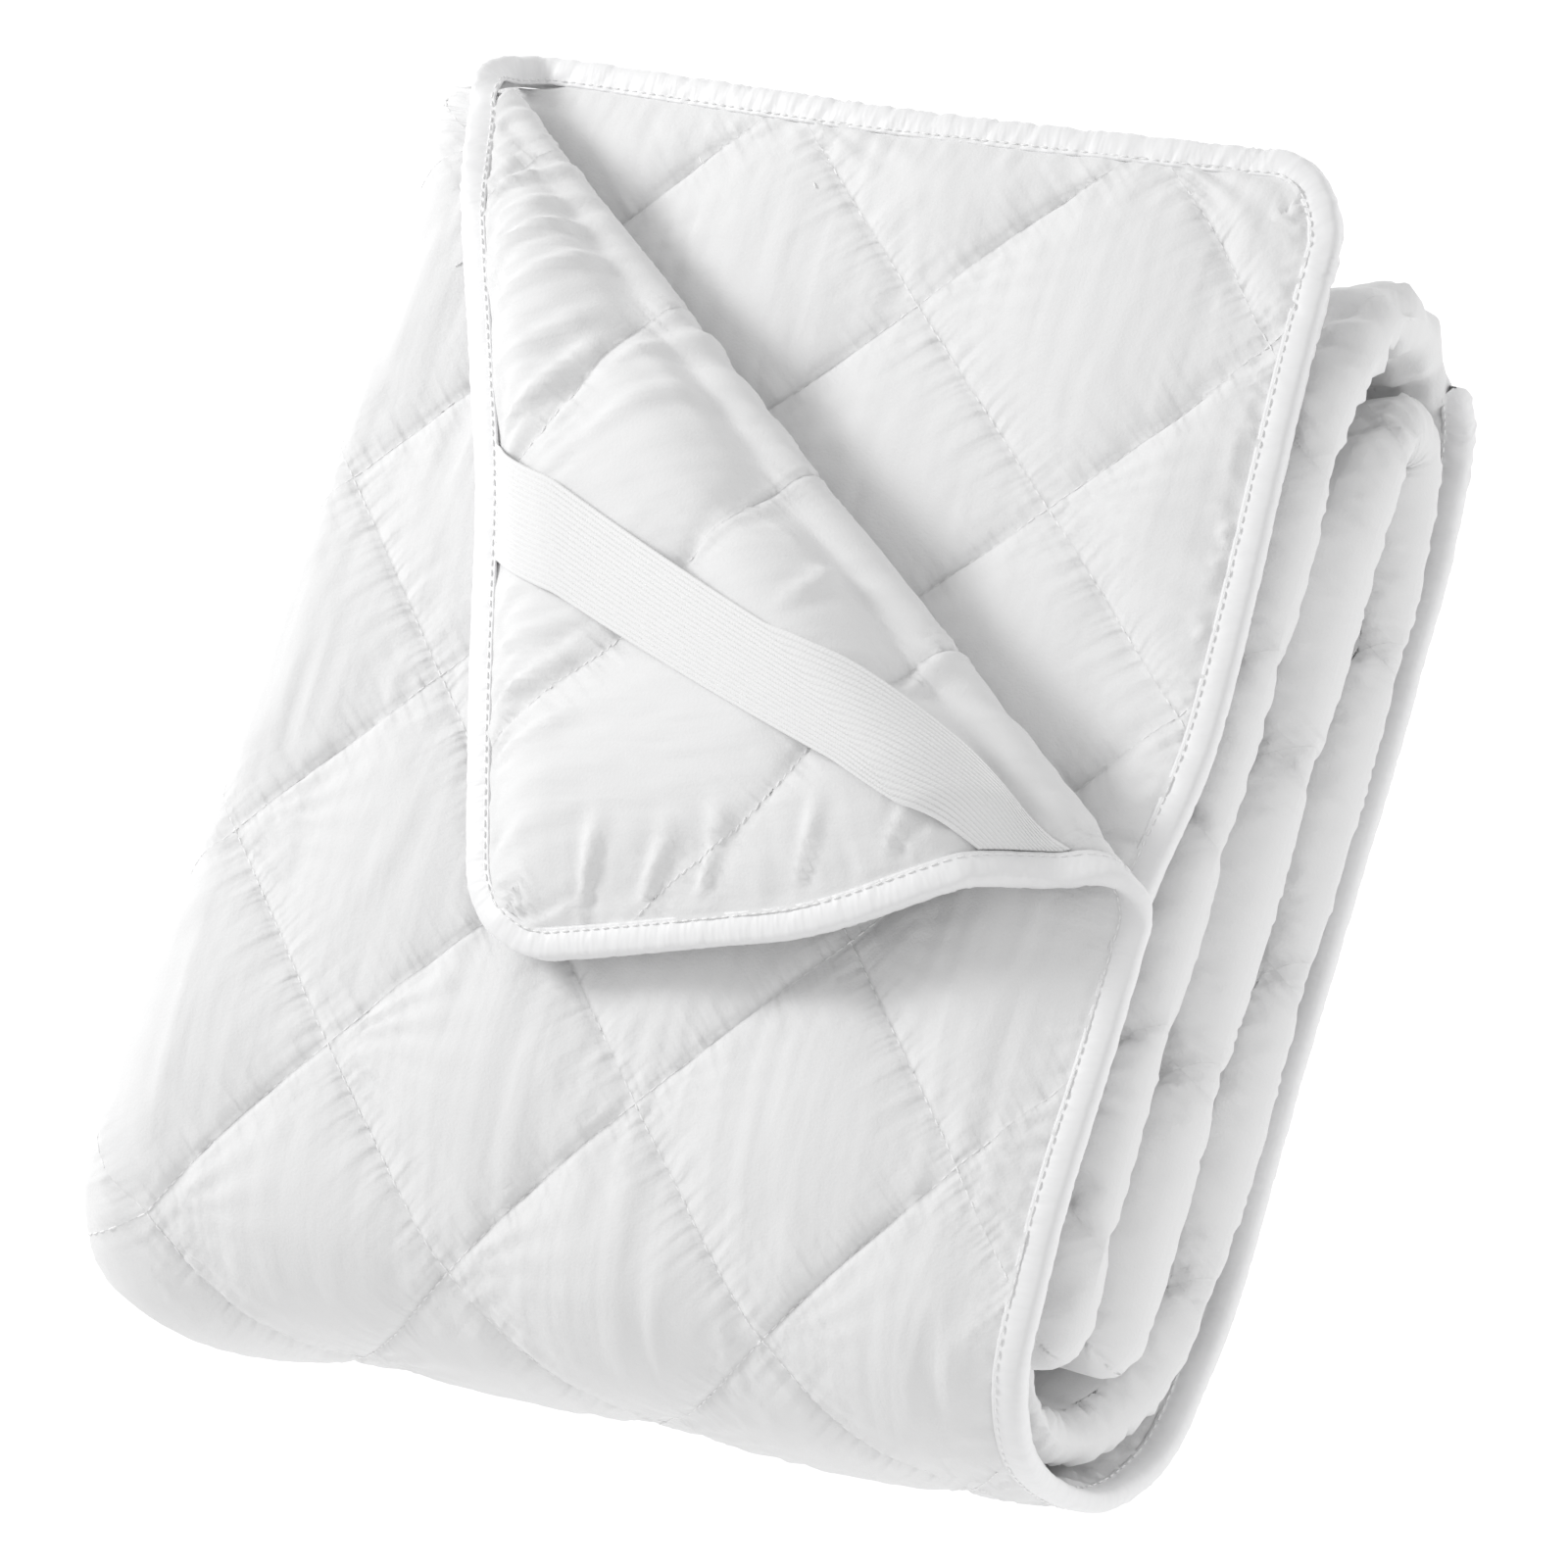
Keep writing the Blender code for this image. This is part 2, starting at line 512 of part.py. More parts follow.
def make_pad(collection):
    """The pad: a flat grid, cut where the roll will be, then laid along the folds and thickened."""
    columns, rows = PAD.columns(), PAD.rows()
    mesh = bmesh.new()
    bmesh.ops.create_grid(mesh, x_segments=len(columns) - 1, y_segments=len(rows) - 1, size=1.0)
    for vert in mesh.verts:
        column = round((vert.co.x + 1.0) / 2.0 * (len(columns) - 1))
        row = round((vert.co.y + 1.0) / 2.0 * (len(rows) - 1))
        vert.co = (columns[column], rows[row], 0.0)
    split_along_lattice(mesh)
    cut_along_roll(mesh)

    mesh.verts.index_update()
    widths = []
    for vert in mesh.verts:
        u, v = vert.co.x, vert.co.y
        widths.append(PAD.thickness(u, v))
        vert.co = PAD.place(u, v)
    data = bpy.data.meshes.new("quilted_pad")
    mesh.to_mesh(data)
    mesh.free()
    pad = add_object("quilted_pad", data, collection)
    group = pad.vertex_groups.new(name="thickness")
    for index, width in enumerate(widths):
        group.add([index], width / max(widths), "REPLACE")
    add_thickness(pad, max(widths), group.name)
    graph = bpy.context.evaluated_depsgraph_get()
    pad.data = bpy.data.meshes.new_from_object(pad.evaluated_get(graph))
    pad.modifiers.clear()
    pad.vertex_groups.clear()
    for vert in pad.data.vertices:
        if vert.co.z < FLOOR_PRESS:
            vert.co.z = 0.0
    return pad


# --- The binding ---------------------------------------------------------------------------------
def on_side(cloth, v):
    return lambda d: place(cloth, STRIP.side(cloth) + d, v)


def on_corner(cloth, angle):
    centre = STRIP.side(cloth) - CORNER_RADIUS
    return lambda d: place(cloth, centre + (CORNER_RADIUS + d) * math.cos(angle),
                           CORNER_RADIUS - (CORNER_RADIUS + d) * math.sin(angle))


def on_top(cloth, x):
    return lambda d: place(cloth, x, -d)


def on_fold_end(angle):
    return lambda d: place_on_fold(angle, -d)


def binding_line():
    """The bound edge from the back round the front to the second layer.

    Each item gives the place at a distance outwards from one point of the edge.
    """
    back_end, back_top = STRIP.at(*BOUND_OUTER_UNTIL), STRIP.at("upper back")
    turn_end, turn_start = STRIP.at("out of turn"), STRIP.at("into turn")
    quarter = math.pi / 2.0
    runs = (
        (lambda v: on_side("outer", v), back_end, back_top, BEND_STEP),
        (lambda v: on_side("outer", v), back_top, turn_end, STRAIGHT_STEP),
        (lambda v: on_side("outer", v), turn_end, turn_start, BEND_STEP),
        (lambda v: on_side("outer", v), turn_start, SIDE_ROLL[1], STRAIGHT_STEP),
        (lambda v: on_side("outer", v), SIDE_ROLL[1], SIDE_ROLL[0], ROLL_STEP),
        (lambda v: on_side("outer", v), SIDE_ROLL[0], CORNER_RADIUS, STRAIGHT_STEP),
        (lambda a: on_corner("outer", a), 0.0, quarter, CORNER_STEP),
        (lambda x: on_top("outer", x), OUTER_SIDE - CORNER_RADIUS, TOP_LEFT_BEND, STRAIGHT_STEP),
        (lambda x: on_top("outer", x), TOP_LEFT_BEND, FOLD_SIDE, ROLL_STEP),
        (on_fold_end, 0.0, math.pi, 2.0 * CORNER_STEP),
        (lambda x: on_top("inner", x), FOLD_SIDE, INNER_SIDE - CORNER_RADIUS, STRAIGHT_STEP),
        (lambda a: on_corner("inner", a), quarter, 0.0, CORNER_STEP),
        (lambda v: on_side("inner", v), CORNER_RADIUS, STRIP.at(*BOUND_INNER_UNTIL), STRAIGHT_STEP),
    )
    line = []
    for edge, low, high, step in runs:
        line += [edge(value) for value in spaced(low, high, step)[:-1]]
    last_edge, _, last, _ = runs[-1]
    return line + [last_edge(last)]


def make_binding(collection):
    """The binding: a flattened round section carried along the pad's raw edge."""
    line = binding_line()
    spots = [edge(0.0) for edge in line]
    rings = []
    for k, edge in enumerate(line):
        forward = spots[min(k + 1, len(spots) - 1)] - spots[max(k - 1, 0)]
        face = (edge(PROBE) - edge(-PROBE)).cross(forward).normalized()
        outward = forward.cross(face).normalized()
        centre = spots[k] + outward * (GAP + BINDING_RELIEF + BINDING_WIDTH / 2.0)
        ring = []
        for side in range(BINDING_SIDES):
            angle = 2.0 * math.pi * (side + 0.5) / BINDING_SIDES
            across, up = (math.copysign(abs(part) ** BINDING_SQUARENESS, part)
                          for part in (math.cos(angle), math.sin(angle)))
            ring.append(centre + outward * (across * BINDING_WIDTH / 2.0)
                        + face * (up * BINDING_THICKNESS / 2.0))
        rings.append(ring)
    return add_object("edge_binding", loft("edge_binding", rings), collection)


def loft(name, rings):
    """Closed body through a row of rings of points."""
    mesh = bmesh.new()
    loops = [[mesh.verts.new(point) for point in ring] for ring in rings]
    for first, second in zip(loops, loops[1:]):
        for k in range(len(first)):
            n = (k + 1) % len(first)
            mesh.faces.new((first[k], first[n], second[n], second[k]))
    mesh.faces.new(loops[0][::-1])
    mesh.faces.new(loops[-1])
    bmesh.ops.recalc_face_normals(mesh, faces=mesh.faces[:])
    bmesh.ops.triangulate(mesh, faces=mesh.faces[:])
    data = bpy.data.meshes.new(name)
    mesh.to_mesh(data)
    mesh.free()
    return data


# --- The elastic band ----------------------------------------------------------------------------
def make_elastic(collection):
    """The band across the turned corner, on the pad's underside, from the top to the side edge."""
    start = Vector((ELASTIC_ON_TOP_EDGE, 0.0))
    end = Vector((OUTER_SIDE, ELASTIC_ON_SIDE_EDGE))
    along = (end - start).normalized()
    across = Vector((-along.y, along.x))
    mesh = bmesh.new()
    bmesh.ops.create_grid(mesh, x_segments=ELASTIC_GRID[0] - 1, y_segments=ELASTIC_GRID[1] - 1, size=1.0)
    for vert in mesh.verts:
        first, last = (spot + across * (vert.co.x * width / 2.0)
                       for spot, width in zip((start, end), ELASTIC_WIDTH))
        first -= along * ((first.y - ELASTIC_INSET) / along.y)
        last += along * ((OUTER_SIDE - ELASTIC_INSET - last.x) / along.x)
        spot = first.lerp(last, (vert.co.y + 1.0) / 2.0)
        to_edge = min(spot.y, OUTER_SIDE - spot.x)
        middle = place("outer", spot.x, spot.y)
        sideways = place("outer", spot.x + PROBE, spot.y) - middle
        down = place("outer", spot.x, spot.y + PROBE) - middle
        height = mix(*ELASTIC_HEIGHT, smooth(to_edge / ELASTIC_EASE))
        vert.co = middle + sideways.cross(down).normalized() * height
    data = bpy.data.meshes.new("corner_elastic")
    mesh.to_mesh(data)
    mesh.free()
    band = add_object("corner_elastic", data, collection)
    add_thickness(band, ELASTIC_THICKNESS)
    return band


# --- Scene ---------------------------------------------------------------------------------------
def add_object(name, data, collection):
    """New object with a material of its own."""
    colour, roughness = COLOURS[name]
    material = bpy.data.materials.new(name)
    material.use_nodes = True
    shader = material.node_tree.nodes["Principled BSDF"]
    shader.inputs["Base Color"].default_value = (*colour, 1.0)
    shader.inputs["Roughness"].default_value = roughness
    shader.inputs["Metallic"].default_value = 0.0
    thing = bpy.data.objects.new(name, data)
    collection.objects.link(thing)
    data.materials.append(material)
    data.shade_smooth()
    return thing


def add_thickness(thing, thickness, group=""):
    """Thicken a surface evenly about its middle, or by the weights of a vertex group."""
    solid = thing.modifiers.new("thickness", "SOLIDIFY")
    solid.thickness = thickness
    solid.offset = 0.0
    solid.use_rim = True
    solid.vertex_group = group


def centre_on_origin(things):
    """Move the meshes so that the origin is the centre of the underside of their box."""
    graph = bpy.context.evaluated_depsgraph_get()
    points = [vert.co for thing in things for vert in thing.evaluated_get(graph).data.vertices]
    low = Vector([min(point[axis] for point in points) for axis in range(3)])
    high = Vector([max(point[axis] for point in points) for axis in range(3)])
    shift = Vector(((low.x + high.x) / 2.0, (low.y + high.y) / 2.0, low.z))
    for thing in things:
        for vert in thing.data.vertices:
            vert.co -= shift


def main():
    for thing in list(bpy.data.objects):
        bpy.data.objects.remove(thing, do_unlink=True)
    collection = bpy.data.collections.new("mattress_protector")
    bpy.context.scene.collection.children.link(collection)
    things = [make_pad(collection), make_binding(collection), make_elastic(collection)]
    bpy.context.view_layer.update()
    centre_on_origin(things)


main()
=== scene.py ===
"""Quilted mattress protector, folded into a bundle with one corner turned back, dressed for the eye.

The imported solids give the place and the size. Each class below is a sub-assembly that builds a finer
piece on the same folds, or a finish that dresses it. Cloth points are known by U, the distance across
the flat pad, and V, the distance along the strip from its free top edge.
"""

import logging
import math
from dataclasses import dataclass, field
from enum import Enum, IntEnum
from typing import Callable, List, Optional, Tuple

import bpy
import numpy as np
from mathutils import Matrix, Vector


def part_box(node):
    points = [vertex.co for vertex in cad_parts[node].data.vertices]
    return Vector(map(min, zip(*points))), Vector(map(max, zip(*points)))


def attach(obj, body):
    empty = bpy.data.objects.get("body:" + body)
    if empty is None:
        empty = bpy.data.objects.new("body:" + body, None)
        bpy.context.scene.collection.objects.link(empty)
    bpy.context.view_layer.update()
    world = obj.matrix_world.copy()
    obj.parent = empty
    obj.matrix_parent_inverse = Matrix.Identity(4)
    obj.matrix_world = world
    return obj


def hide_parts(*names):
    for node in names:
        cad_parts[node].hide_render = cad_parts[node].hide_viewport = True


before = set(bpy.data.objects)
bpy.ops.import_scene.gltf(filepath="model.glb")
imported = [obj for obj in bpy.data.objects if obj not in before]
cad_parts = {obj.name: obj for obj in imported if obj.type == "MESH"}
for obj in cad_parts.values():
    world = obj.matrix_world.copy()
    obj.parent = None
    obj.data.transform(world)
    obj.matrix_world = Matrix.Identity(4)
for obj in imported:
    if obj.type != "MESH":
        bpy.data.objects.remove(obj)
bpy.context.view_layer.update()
LOG = logging.getLogger("mattress_protector")
Array = np.ndarray

NOISE_CELLS = 64        # cells to a side of an uneven pattern's table
RIDGE_LEVEL = 0.35      # size of the uneven value at which a ridge meets the plain face
RIDGE_GAIN = 1.8        # how much ridges are raised
TROUGH = 1.6            # depth of the troughs beside a single fold
FADE_END = 1.5          # where a groove is gone, in its reaches; it fades over the last one
LANE_SHIFTS = (7.3, 2.7)    # shifts of the puckers' pattern from line to line, and across a line
FACE_SHIFT = 31.0       # shift of the patterns between the pad's faces
CREASE_WIDTHS = (0.6, 0.8)  # share of its width that a crease starts with, and gains
CREASE_START = (0.15, 0.3)  # how far before its start a crease rises, and over what share
CREASE_END = (1.25, 0.5)    # where past its start it is gone, and over what share


# --- Helpers -------------------------------------------------------------------------------------
def smooth(value: Array) -> Array:
    """Ease from 0 to 1."""
    value = np.clip(value, 0.0, 1.0)
    return value * value * (3.0 - 2.0 * value)


def mix(low: Array, high: Array, share: Array) -> Array:
    """Blend of two values."""
    return low + (high - low) * share


def unit(vectors: Array) -> Array:
    """Vectors of length one.

    Args:
        vectors: Vectors along the last axis.

    Returns:
        The same vectors, each divided by its length.
    """
    return vectors / np.maximum(np.linalg.norm(vectors, axis=-1, keepdims=True), 1e-9)


def spaced(low: float, high: float, step: float) -> Array:
    """Even values from low to high, about a step apart."""
    return np.linspace(low, high, max(round(abs(high - low) / step), 1) + 1)


class Pattern(IntEnum):
    """The uneven patterns, each with its own seed."""

    DIAMOND_THICKNESS = 3
    FIRST_SEAMS = 11
    SECOND_SEAMS = 12
    FAN_START = 21
    FAN_SWAY = 22
    FAN_HEIGHT = 23
    LONG_SWAY = 31
    LONG_FOLDS = 32
    LONG_STRENGTH = 33
    SIDE_EDGE = 41
    END_EDGE = 42
    TAPE_PUCKERS = 51
    TAPE_SWAY = 52
    LINES_ACROSS = 61
    LINES_ALONG = 62
    FLAP_PLEATS = 71
    ARCH_FOLDS = 81
    FLANK_FOLDS = 82
    FLANK_LEAN = 83


def soft_noise(x: Array, y: Array, pattern: Pattern) -> Array:
    """Smooth uneven value between -1 and 1.

    Args:
        x: First coordinate, in cells.
        y: Second coordinate, in cells.
        pattern: Which pattern.

    Returns:
        One value for each point.
    """
    table = np.random.RandomState(int(pattern)).rand(NOISE_CELLS, NOISE_CELLS) * 2.0 - 1.0
    left, low = np.floor(x).astype(int), np.floor(y).astype(int)
    across, up = smooth(x - left), smooth(y - low)
    left, low = left % NOISE_CELLS, low % NOISE_CELLS
    right, high = (left + 1) % NOISE_CELLS, (low + 1) % NOISE_CELLS
    bottom = mix(table[left, low], table[right, low], across)
    top = mix(table[left, high], table[right, high], across)
    return mix(bottom, top, up)


def ridges(folds: Array, level: float = RIDGE_LEVEL, gain: float = RIDGE_GAIN) -> Array:
    """Sharp ridges with wide valleys between them, from an uneven value."""
    return (level - np.abs(folds)) * gain


def off_line(number: Array) -> Array:
    """How far a number is from the nearest even one."""
    return number - 2.0 * np.round(number / 2.0)


def deselect() -> None:
    """Leave nothing selected."""
    bpy.ops.object.select_all(action="DESELECT")


def take(thing: bpy.types.Object) -> None:
    """Make one object the only selected and active one.

    Args:
        thing: The object.
    """
    deselect()
    thing.select_set(True)
    bpy.context.view_layer.objects.active = thing


def new_grid(name: str, columns: int, rows: int) -> bpy.types.Object:
    """Flat grid of points, named, with a UV map.

    Args:
        name: Name of the object and its mesh.
        columns: Points across.
        rows: Points along.

    Returns:
        The new object, at the origin.
    """
    deselect()
    bpy.ops.mesh.primitive_grid_add(x_subdivisions=columns - 1, y_subdivisions=rows - 1, size=2.0,
                                    calc_uvs=True, location=(0.0, 0.0, 0.0))
    thing = bpy.context.object
    thing.name = name
    thing.data.name = name
    return thing


def mesh_points(thing: bpy.types.Object) -> Array:
    """Points of an object's mesh.

    Args:
        thing: The object.

    Returns:
        Its points, along the last axis.
    """
    points = np.empty(len(thing.data.vertices) * 3)
    thing.data.vertices.foreach_get("co", points)
    return points.reshape(-1, 3)


def face_outwards(thing: bpy.types.Object) -> None:
    """Turn all faces of a closed mesh outwards.

    Args:
        thing: The object.
    """
    take(thing)
    bpy.ops.object.mode_set(mode="EDIT")
    bpy.ops.mesh.select_all(action="SELECT")
    bpy.ops.mesh.normals_make_consistent(inside=False)
    bpy.ops.object.mode_set(mode="OBJECT")


def grid_order(thing: bpy.types.Object, columns: int, rows: int) -> Tuple[Array, Array]:
    """Column and row number of each point of a grid.

    Args:
        thing: The grid.
        columns: Points across.
        rows: Points along.

    Returns:
        The column numbers and the row numbers.
    """
    points = mesh_points(thing)
    column = np.rint((points[:, 0] + 1.0) / 2.0 * (columns - 1)).astype(int)
    row = np.rint((points[:, 1] + 1.0) / 2.0 * (rows - 1)).astype(int)
    return column, row


def set_points(thing: bpy.types.Object, points: Array) -> None:
    """Give an object's mesh its points."""
    thing.data.vertices.foreach_set("co", np.ascontiguousarray(points, dtype=np.float32).ravel())
    thing.data.update()


def set_uv(thing: bpy.types.Object, flat: Array) -> None:
    """Fill an object's UV map, which is named flat_cloth unless it already has a name of its own.

    Args:
        thing: The object.
        flat: Two values for each vertex: metres of flat cloth, or the quilting's numbers.
    """
    corner_verts = np.empty(len(thing.data.loops), dtype=int)
    thing.data.loops.foreach_get("vertex_index", corner_verts)
    layer = thing.data.uv_layers.active or thing.data.uv_layers.new(name="flat_cloth")
    if layer.name == "UVMap":
        layer.name = "flat_cloth"
    layer.data.foreach_set("uv", np.ascontiguousarray(flat[corner_verts], dtype=np.float32).ravel())


def surface_normals(points: Array) -> Array:
    """Normals of a grid of points, row by row and column by column.

    Args:
        points: The points.

    Returns:
        The normals, of length one.
    """
    along_rows = np.gradient(points, axis=0)
    along_columns = np.gradient(points, axis=1)
    return unit(np.cross(along_columns, along_rows))


def finished(thing: bpy.types.Object, material: bpy.types.Material) -> bpy.types.Object:
    """Smooth an object and give it its finish.

    Args:
        thing: The object.
        material: Its finish.

    Returns:
        The same object.
    """
    take(thing)
    bpy.ops.object.shade_smooth()
    thing.data.materials.clear()
    thing.data.materials.append(material)
    return thing


# --- The folds -----------------------------------------------------------------------------------
class Cloth(Enum):
    """The two layers of the doubled strip."""

    OUTER = "outer"
    INNER = "inner"


@dataclass
class FoldedStrip:
    """The doubled strip: it knows where each point of the flat cloth lies in the bundle."""

    outer_side: float = 0.199
    inner_side: float = 0.1955
    fold_side: float = -0.186
    fold_bulge: float = 0.025
    fold_arc: float = 0.055
    corner_radius: float = 0.032
    end_radius: float = 0.024
    side_blend: float = 0.060
    fold_tight: float = 0.0142
    fold_tight_until: float = 0.485
    fold_tight_ease: Tuple[float, float] = (0.110, 0.200)
    fold_full: float = 0.0120
    fold_full_at: float = 0.518
    fold_full_length: float = 0.050
    side_bulge: Tuple[float, float] = (0.009, 0.0135)
    arch_bulge: float = 0.0085
    arch_bulge_length: float = 0.045
    front_draw: float = 0.0025
    front_draw_ease: Tuple[float, float] = (0.200, 0.080)
    bulge_ease: Tuple[float, float] = (0.080, 0.120)
    turn_fullness: float = 0.007
    turn_full_length: float = 0.060
    turn_full_width: float = 0.100
    turn_draw: float = 0.008
    turn_draw_length: float = 0.085
    roll_draw: float = 0.0055
    end_draw: float = 0.010
    end_draw_length: float = 0.120
    second_tuck: float = 0.012
    second_tuck_from: float = 0.220
    second_tuck_ease: float = 0.110
    second_corner_draw: float = 0.0115
    second_corner_length: float = 0.260
    bared_swell: float = 0.010
    bared_ease: float = 0.120
    second_top_rise: float = 0.0018
    second_fold_rise: float = 0.0088
    second_rise_width: float = 0.190
    second_rise_length: float = 0.090
    outer_bound_to: Tuple[str, float] = ("arch back", 0.4)
    inner_bound_to: Tuple[str, float] = ("lower front", 0.6)
    # station: outer y, z, side z, side thickness, then the same of the inner cloth
    stations: Tuple[Tuple[str, Tuple[float, ...], Tuple[float, ...]], ...] = (
        ("top edge", (0.503, 0.170, 0.1745, 0.012), (0.503, 0.150, 0.1620, 0.012)),
        ("upper front", (0.440, 0.175, 0.1750, 0.012), (0.440, 0.148, 0.1620, 0.012)),
        ("front", (0.300, 0.180, 0.1750, 0.012), (0.300, 0.150, 0.1615, 0.012)),
        ("lower front", (0.160, 0.178, 0.1740, 0.012), (0.160, 0.149, 0.1590, 0.012)),
        ("into turn", (0.070, 0.170, 0.1700, 0.012), (0.080, 0.143, 0.1500, 0.014)),
        ("turn front", (0.025, 0.154, 0.1560, 0.012), (0.048, 0.130, 0.1340, 0.020)),
        ("turn high", (0.004, 0.124, 0.1260, 0.012), (0.030, 0.108, 0.1080, 0.022)),
        ("lower turn", (0.000, 0.088, 0.0880, 0.012), (0.025, 0.085, 0.0840, 0.022)),
        ("turn low", (0.008, 0.050, 0.0480, 0.012), (0.033, 0.062, 0.0580, 0.024)),
        ("turn back", (0.032, 0.022, 0.0200, 0.012), (0.055, 0.046, 0.0420, 0.032)),
        ("out of turn", (0.075, 0.0110, 0.0095, 0.012), (0.095, 0.041, 0.0375, 0.040)),
        ("back", (0.200, 0.0105, 0.0095, 0.012), (0.200, 0.040, 0.0375, 0.042)),
        ("upper back", (0.360, 0.0105, 0.0095, 0.012), (0.345, 0.040, 0.0380, 0.042)),
        ("into arch", (0.425, 0.016, 0.0140, 0.012), (0.395, 0.042, 0.0420, 0.040)),
        ("arch back", (0.464, 0.036, 0.0350, 0.014), (0.434, 0.049, 0.0550, 0.036)),
        ("upper arch", (0.476, 0.066, 0.0780, 0.030), (0.441, 0.058, 0.0690, 0.034)),
        ("arch front", (0.468, 0.096, 0.1230, 0.032), (0.432, 0.068, 0.0820, 0.038)),
        ("out of arch", (0.436, 0.108, 0.1375, 0.033), (0.396, 0.074, 0.0880, 0.048)),
        ("inside high", (0.360, 0.108, 0.1355, 0.036), (0.330, 0.075, 0.0880, 0.052)),
        ("inside", (0.220, 0.107, 0.1350, 0.036), (0.210, 0.074, 0.0880, 0.052)),
        ("inside low", (0.100, 0.106, 0.1320, 0.036), (0.105, 0.075, 0.0870, 0.050)),
        ("inner end", (0.044, 0.105, 0.1220, 0.030), (0.052, 0.077, 0.0870, 0.040)),
    )

    def __post_init__(self) -> None:
        """Work out the distances along the strip."""
        self.rows = {Cloth.OUTER: np.array([row[1] for row in self.stations]),
                     Cloth.INNER: np.array([row[2] for row in self.stations])}
        steps = np.hypot(*np.diff(self.rows[Cloth.OUTER][:, :2], axis=0).T)
        self.knots = np.concatenate([[0.0], np.cumsum(steps)])
        self.slopes = {cloth: np.gradient(rows, self.knots, axis=0) for cloth, rows in self.rows.items()}
        self.length = float(self.knots[-1])
        self.top_y = float(self.rows[Cloth.OUTER][0, 0])
        self.inner_start = self.fold_side - self.fold_arc
        self.outer_bound, self.inner_bound = self.at(*self.outer_bound_to), self.at(*self.inner_bound_to)
        self.corner = TurnedCorner(self)

    def layers(self, u: Array) -> Tuple[Array, Array, Array]:
        """Where points of the flat pad lie.

        Args:
            u: Distances across the flat pad.

        Returns:
            Whether each is on the outer layer, whether it is on the fold, and its X on its layer.
        """
        on_outer = u >= self.fold_side
        return on_outer, ~on_outer & (u > self.inner_start), np.where(on_outer, u, self.mirrored(u))

    def mirrored(self, u: Array) -> Array:
        """X on the inner layer of distances across the flat pad, and the other way round."""
        return self.fold_side + self.inner_start - u

    def at(self, name: str, share: float = 0.0) -> float:
        """Distance from the top edge of a station, or of a share of the way to the next."""
        index = [row[0] for row in self.stations].index(name)
        return float(mix(self.knots[index], self.knots[index + 1], share))

    def side(self, cloth: Cloth) -> float:
        """X of a layer's raw edge."""
        return self.outer_side if cloth is Cloth.OUTER else self.inner_side

    def along(self, cloth: Cloth, v: Array) -> Array:
        """Y, Z, side Z and side thickness at distances from the top edge.

        Args:
            cloth: Which layer.
            v: Distances along the strip.

        Returns:
            The four values for each distance.
        """
        inside = np.clip(v, 0.0, self.length)
        index = np.clip(np.searchsorted(self.knots, inside) - 1, 0, len(self.knots) - 2)
        span = self.knots[index + 1] - self.knots[index]
        s = ((inside - self.knots[index]) / span)[..., None]
        values, slopes = self.rows[cloth], self.slopes[cloth]
        span = span[..., None]
        row = ((2 * s**3 - 3 * s**2 + 1) * values[index] + (s**3 - 2 * s**2 + s) * span * slopes[index]
               + (3 * s**2 - 2 * s**3) * values[index + 1] + (s**3 - s**2) * span * slopes[index + 1])
        row[..., 0] -= np.minimum(v, 0.0)
        return row

    def open_share(self, cloth: Cloth, x: Array) -> Array:
        """0 inside the bundle and 1 at the open side."""
        return smooth(1.0 - (self.side(cloth) - x) / self.side_blend)

    def side_shift(self, cloth: Cloth, v: Array) -> Array:
        """How far the cloth moves along X at the open side, layer by layer.

        Args:
            cloth: Which layer.
            v: Distances along the strip.

        Returns:
            The distances along X.
        """
        turn = self.turn_draw * self.near_turn(v, self.turn_draw_length)
        if cloth is Cloth.OUTER:
            bulge = self.side_bulge[0] * smooth((v - self.outer_bound) / self.bulge_ease[0])
            arch = self.arch_bulge * np.exp(-((v - self.at("upper arch", 0.5)) / self.arch_bulge_length) ** 2)
            start, ease = self.front_draw_ease
            return bulge + arch - self.front_draw * smooth((v - start) / ease) - turn
        tucked = (smooth((v - self.second_tuck_from) / self.second_tuck_ease)
                  * smooth(1.0 - (v - self.at("into turn")) / self.second_tuck_ease))
        drawn = smooth(1.0 - v / self.second_corner_length)
        bulge = smooth((v - self.at("lower turn")) / self.bulge_ease[1])
        return self.side_bulge[1] * bulge - self.second_tuck * tucked - self.second_corner_draw * drawn - turn

    def fold_out(self, v: Array) -> Array:
        """How far the fold along the length stands out.

        Args:
            v: Distances along the strip.

        Returns:
            The distances outwards.
        """
        grow, fade = self.fold_tight_ease
        tight = smooth(v / grow) * smooth((self.fold_tight_until - v) / fade)
        full = np.exp(-((v - self.fold_full_at) / self.fold_full_length) ** 2)
        return self.fold_bulge - self.fold_tight * tight + self.fold_full * full

    def near_turn(self, v: Array, length: float) -> Array:
        """1 at the lower turn, fading over a length to either side."""
        return np.exp(-((v - self.at("lower turn")) / length) ** 2)

    def side_hang(self, cloth: Cloth, v: Array) -> Array:
        """How far the inner roll and the inner end hang down at the open side.

        Args:
            cloth: Which layer.
            v: Distances along the strip.

        Returns:
            The distances towards the lower turn.
        """
        hang = self.end_draw * smooth(1.0 - (self.length - v) / self.end_draw_length)
        if cloth is Cloth.INNER:
            hang = hang + self.roll_draw * self.near_turn(v, self.turn_draw_length)
        return hang

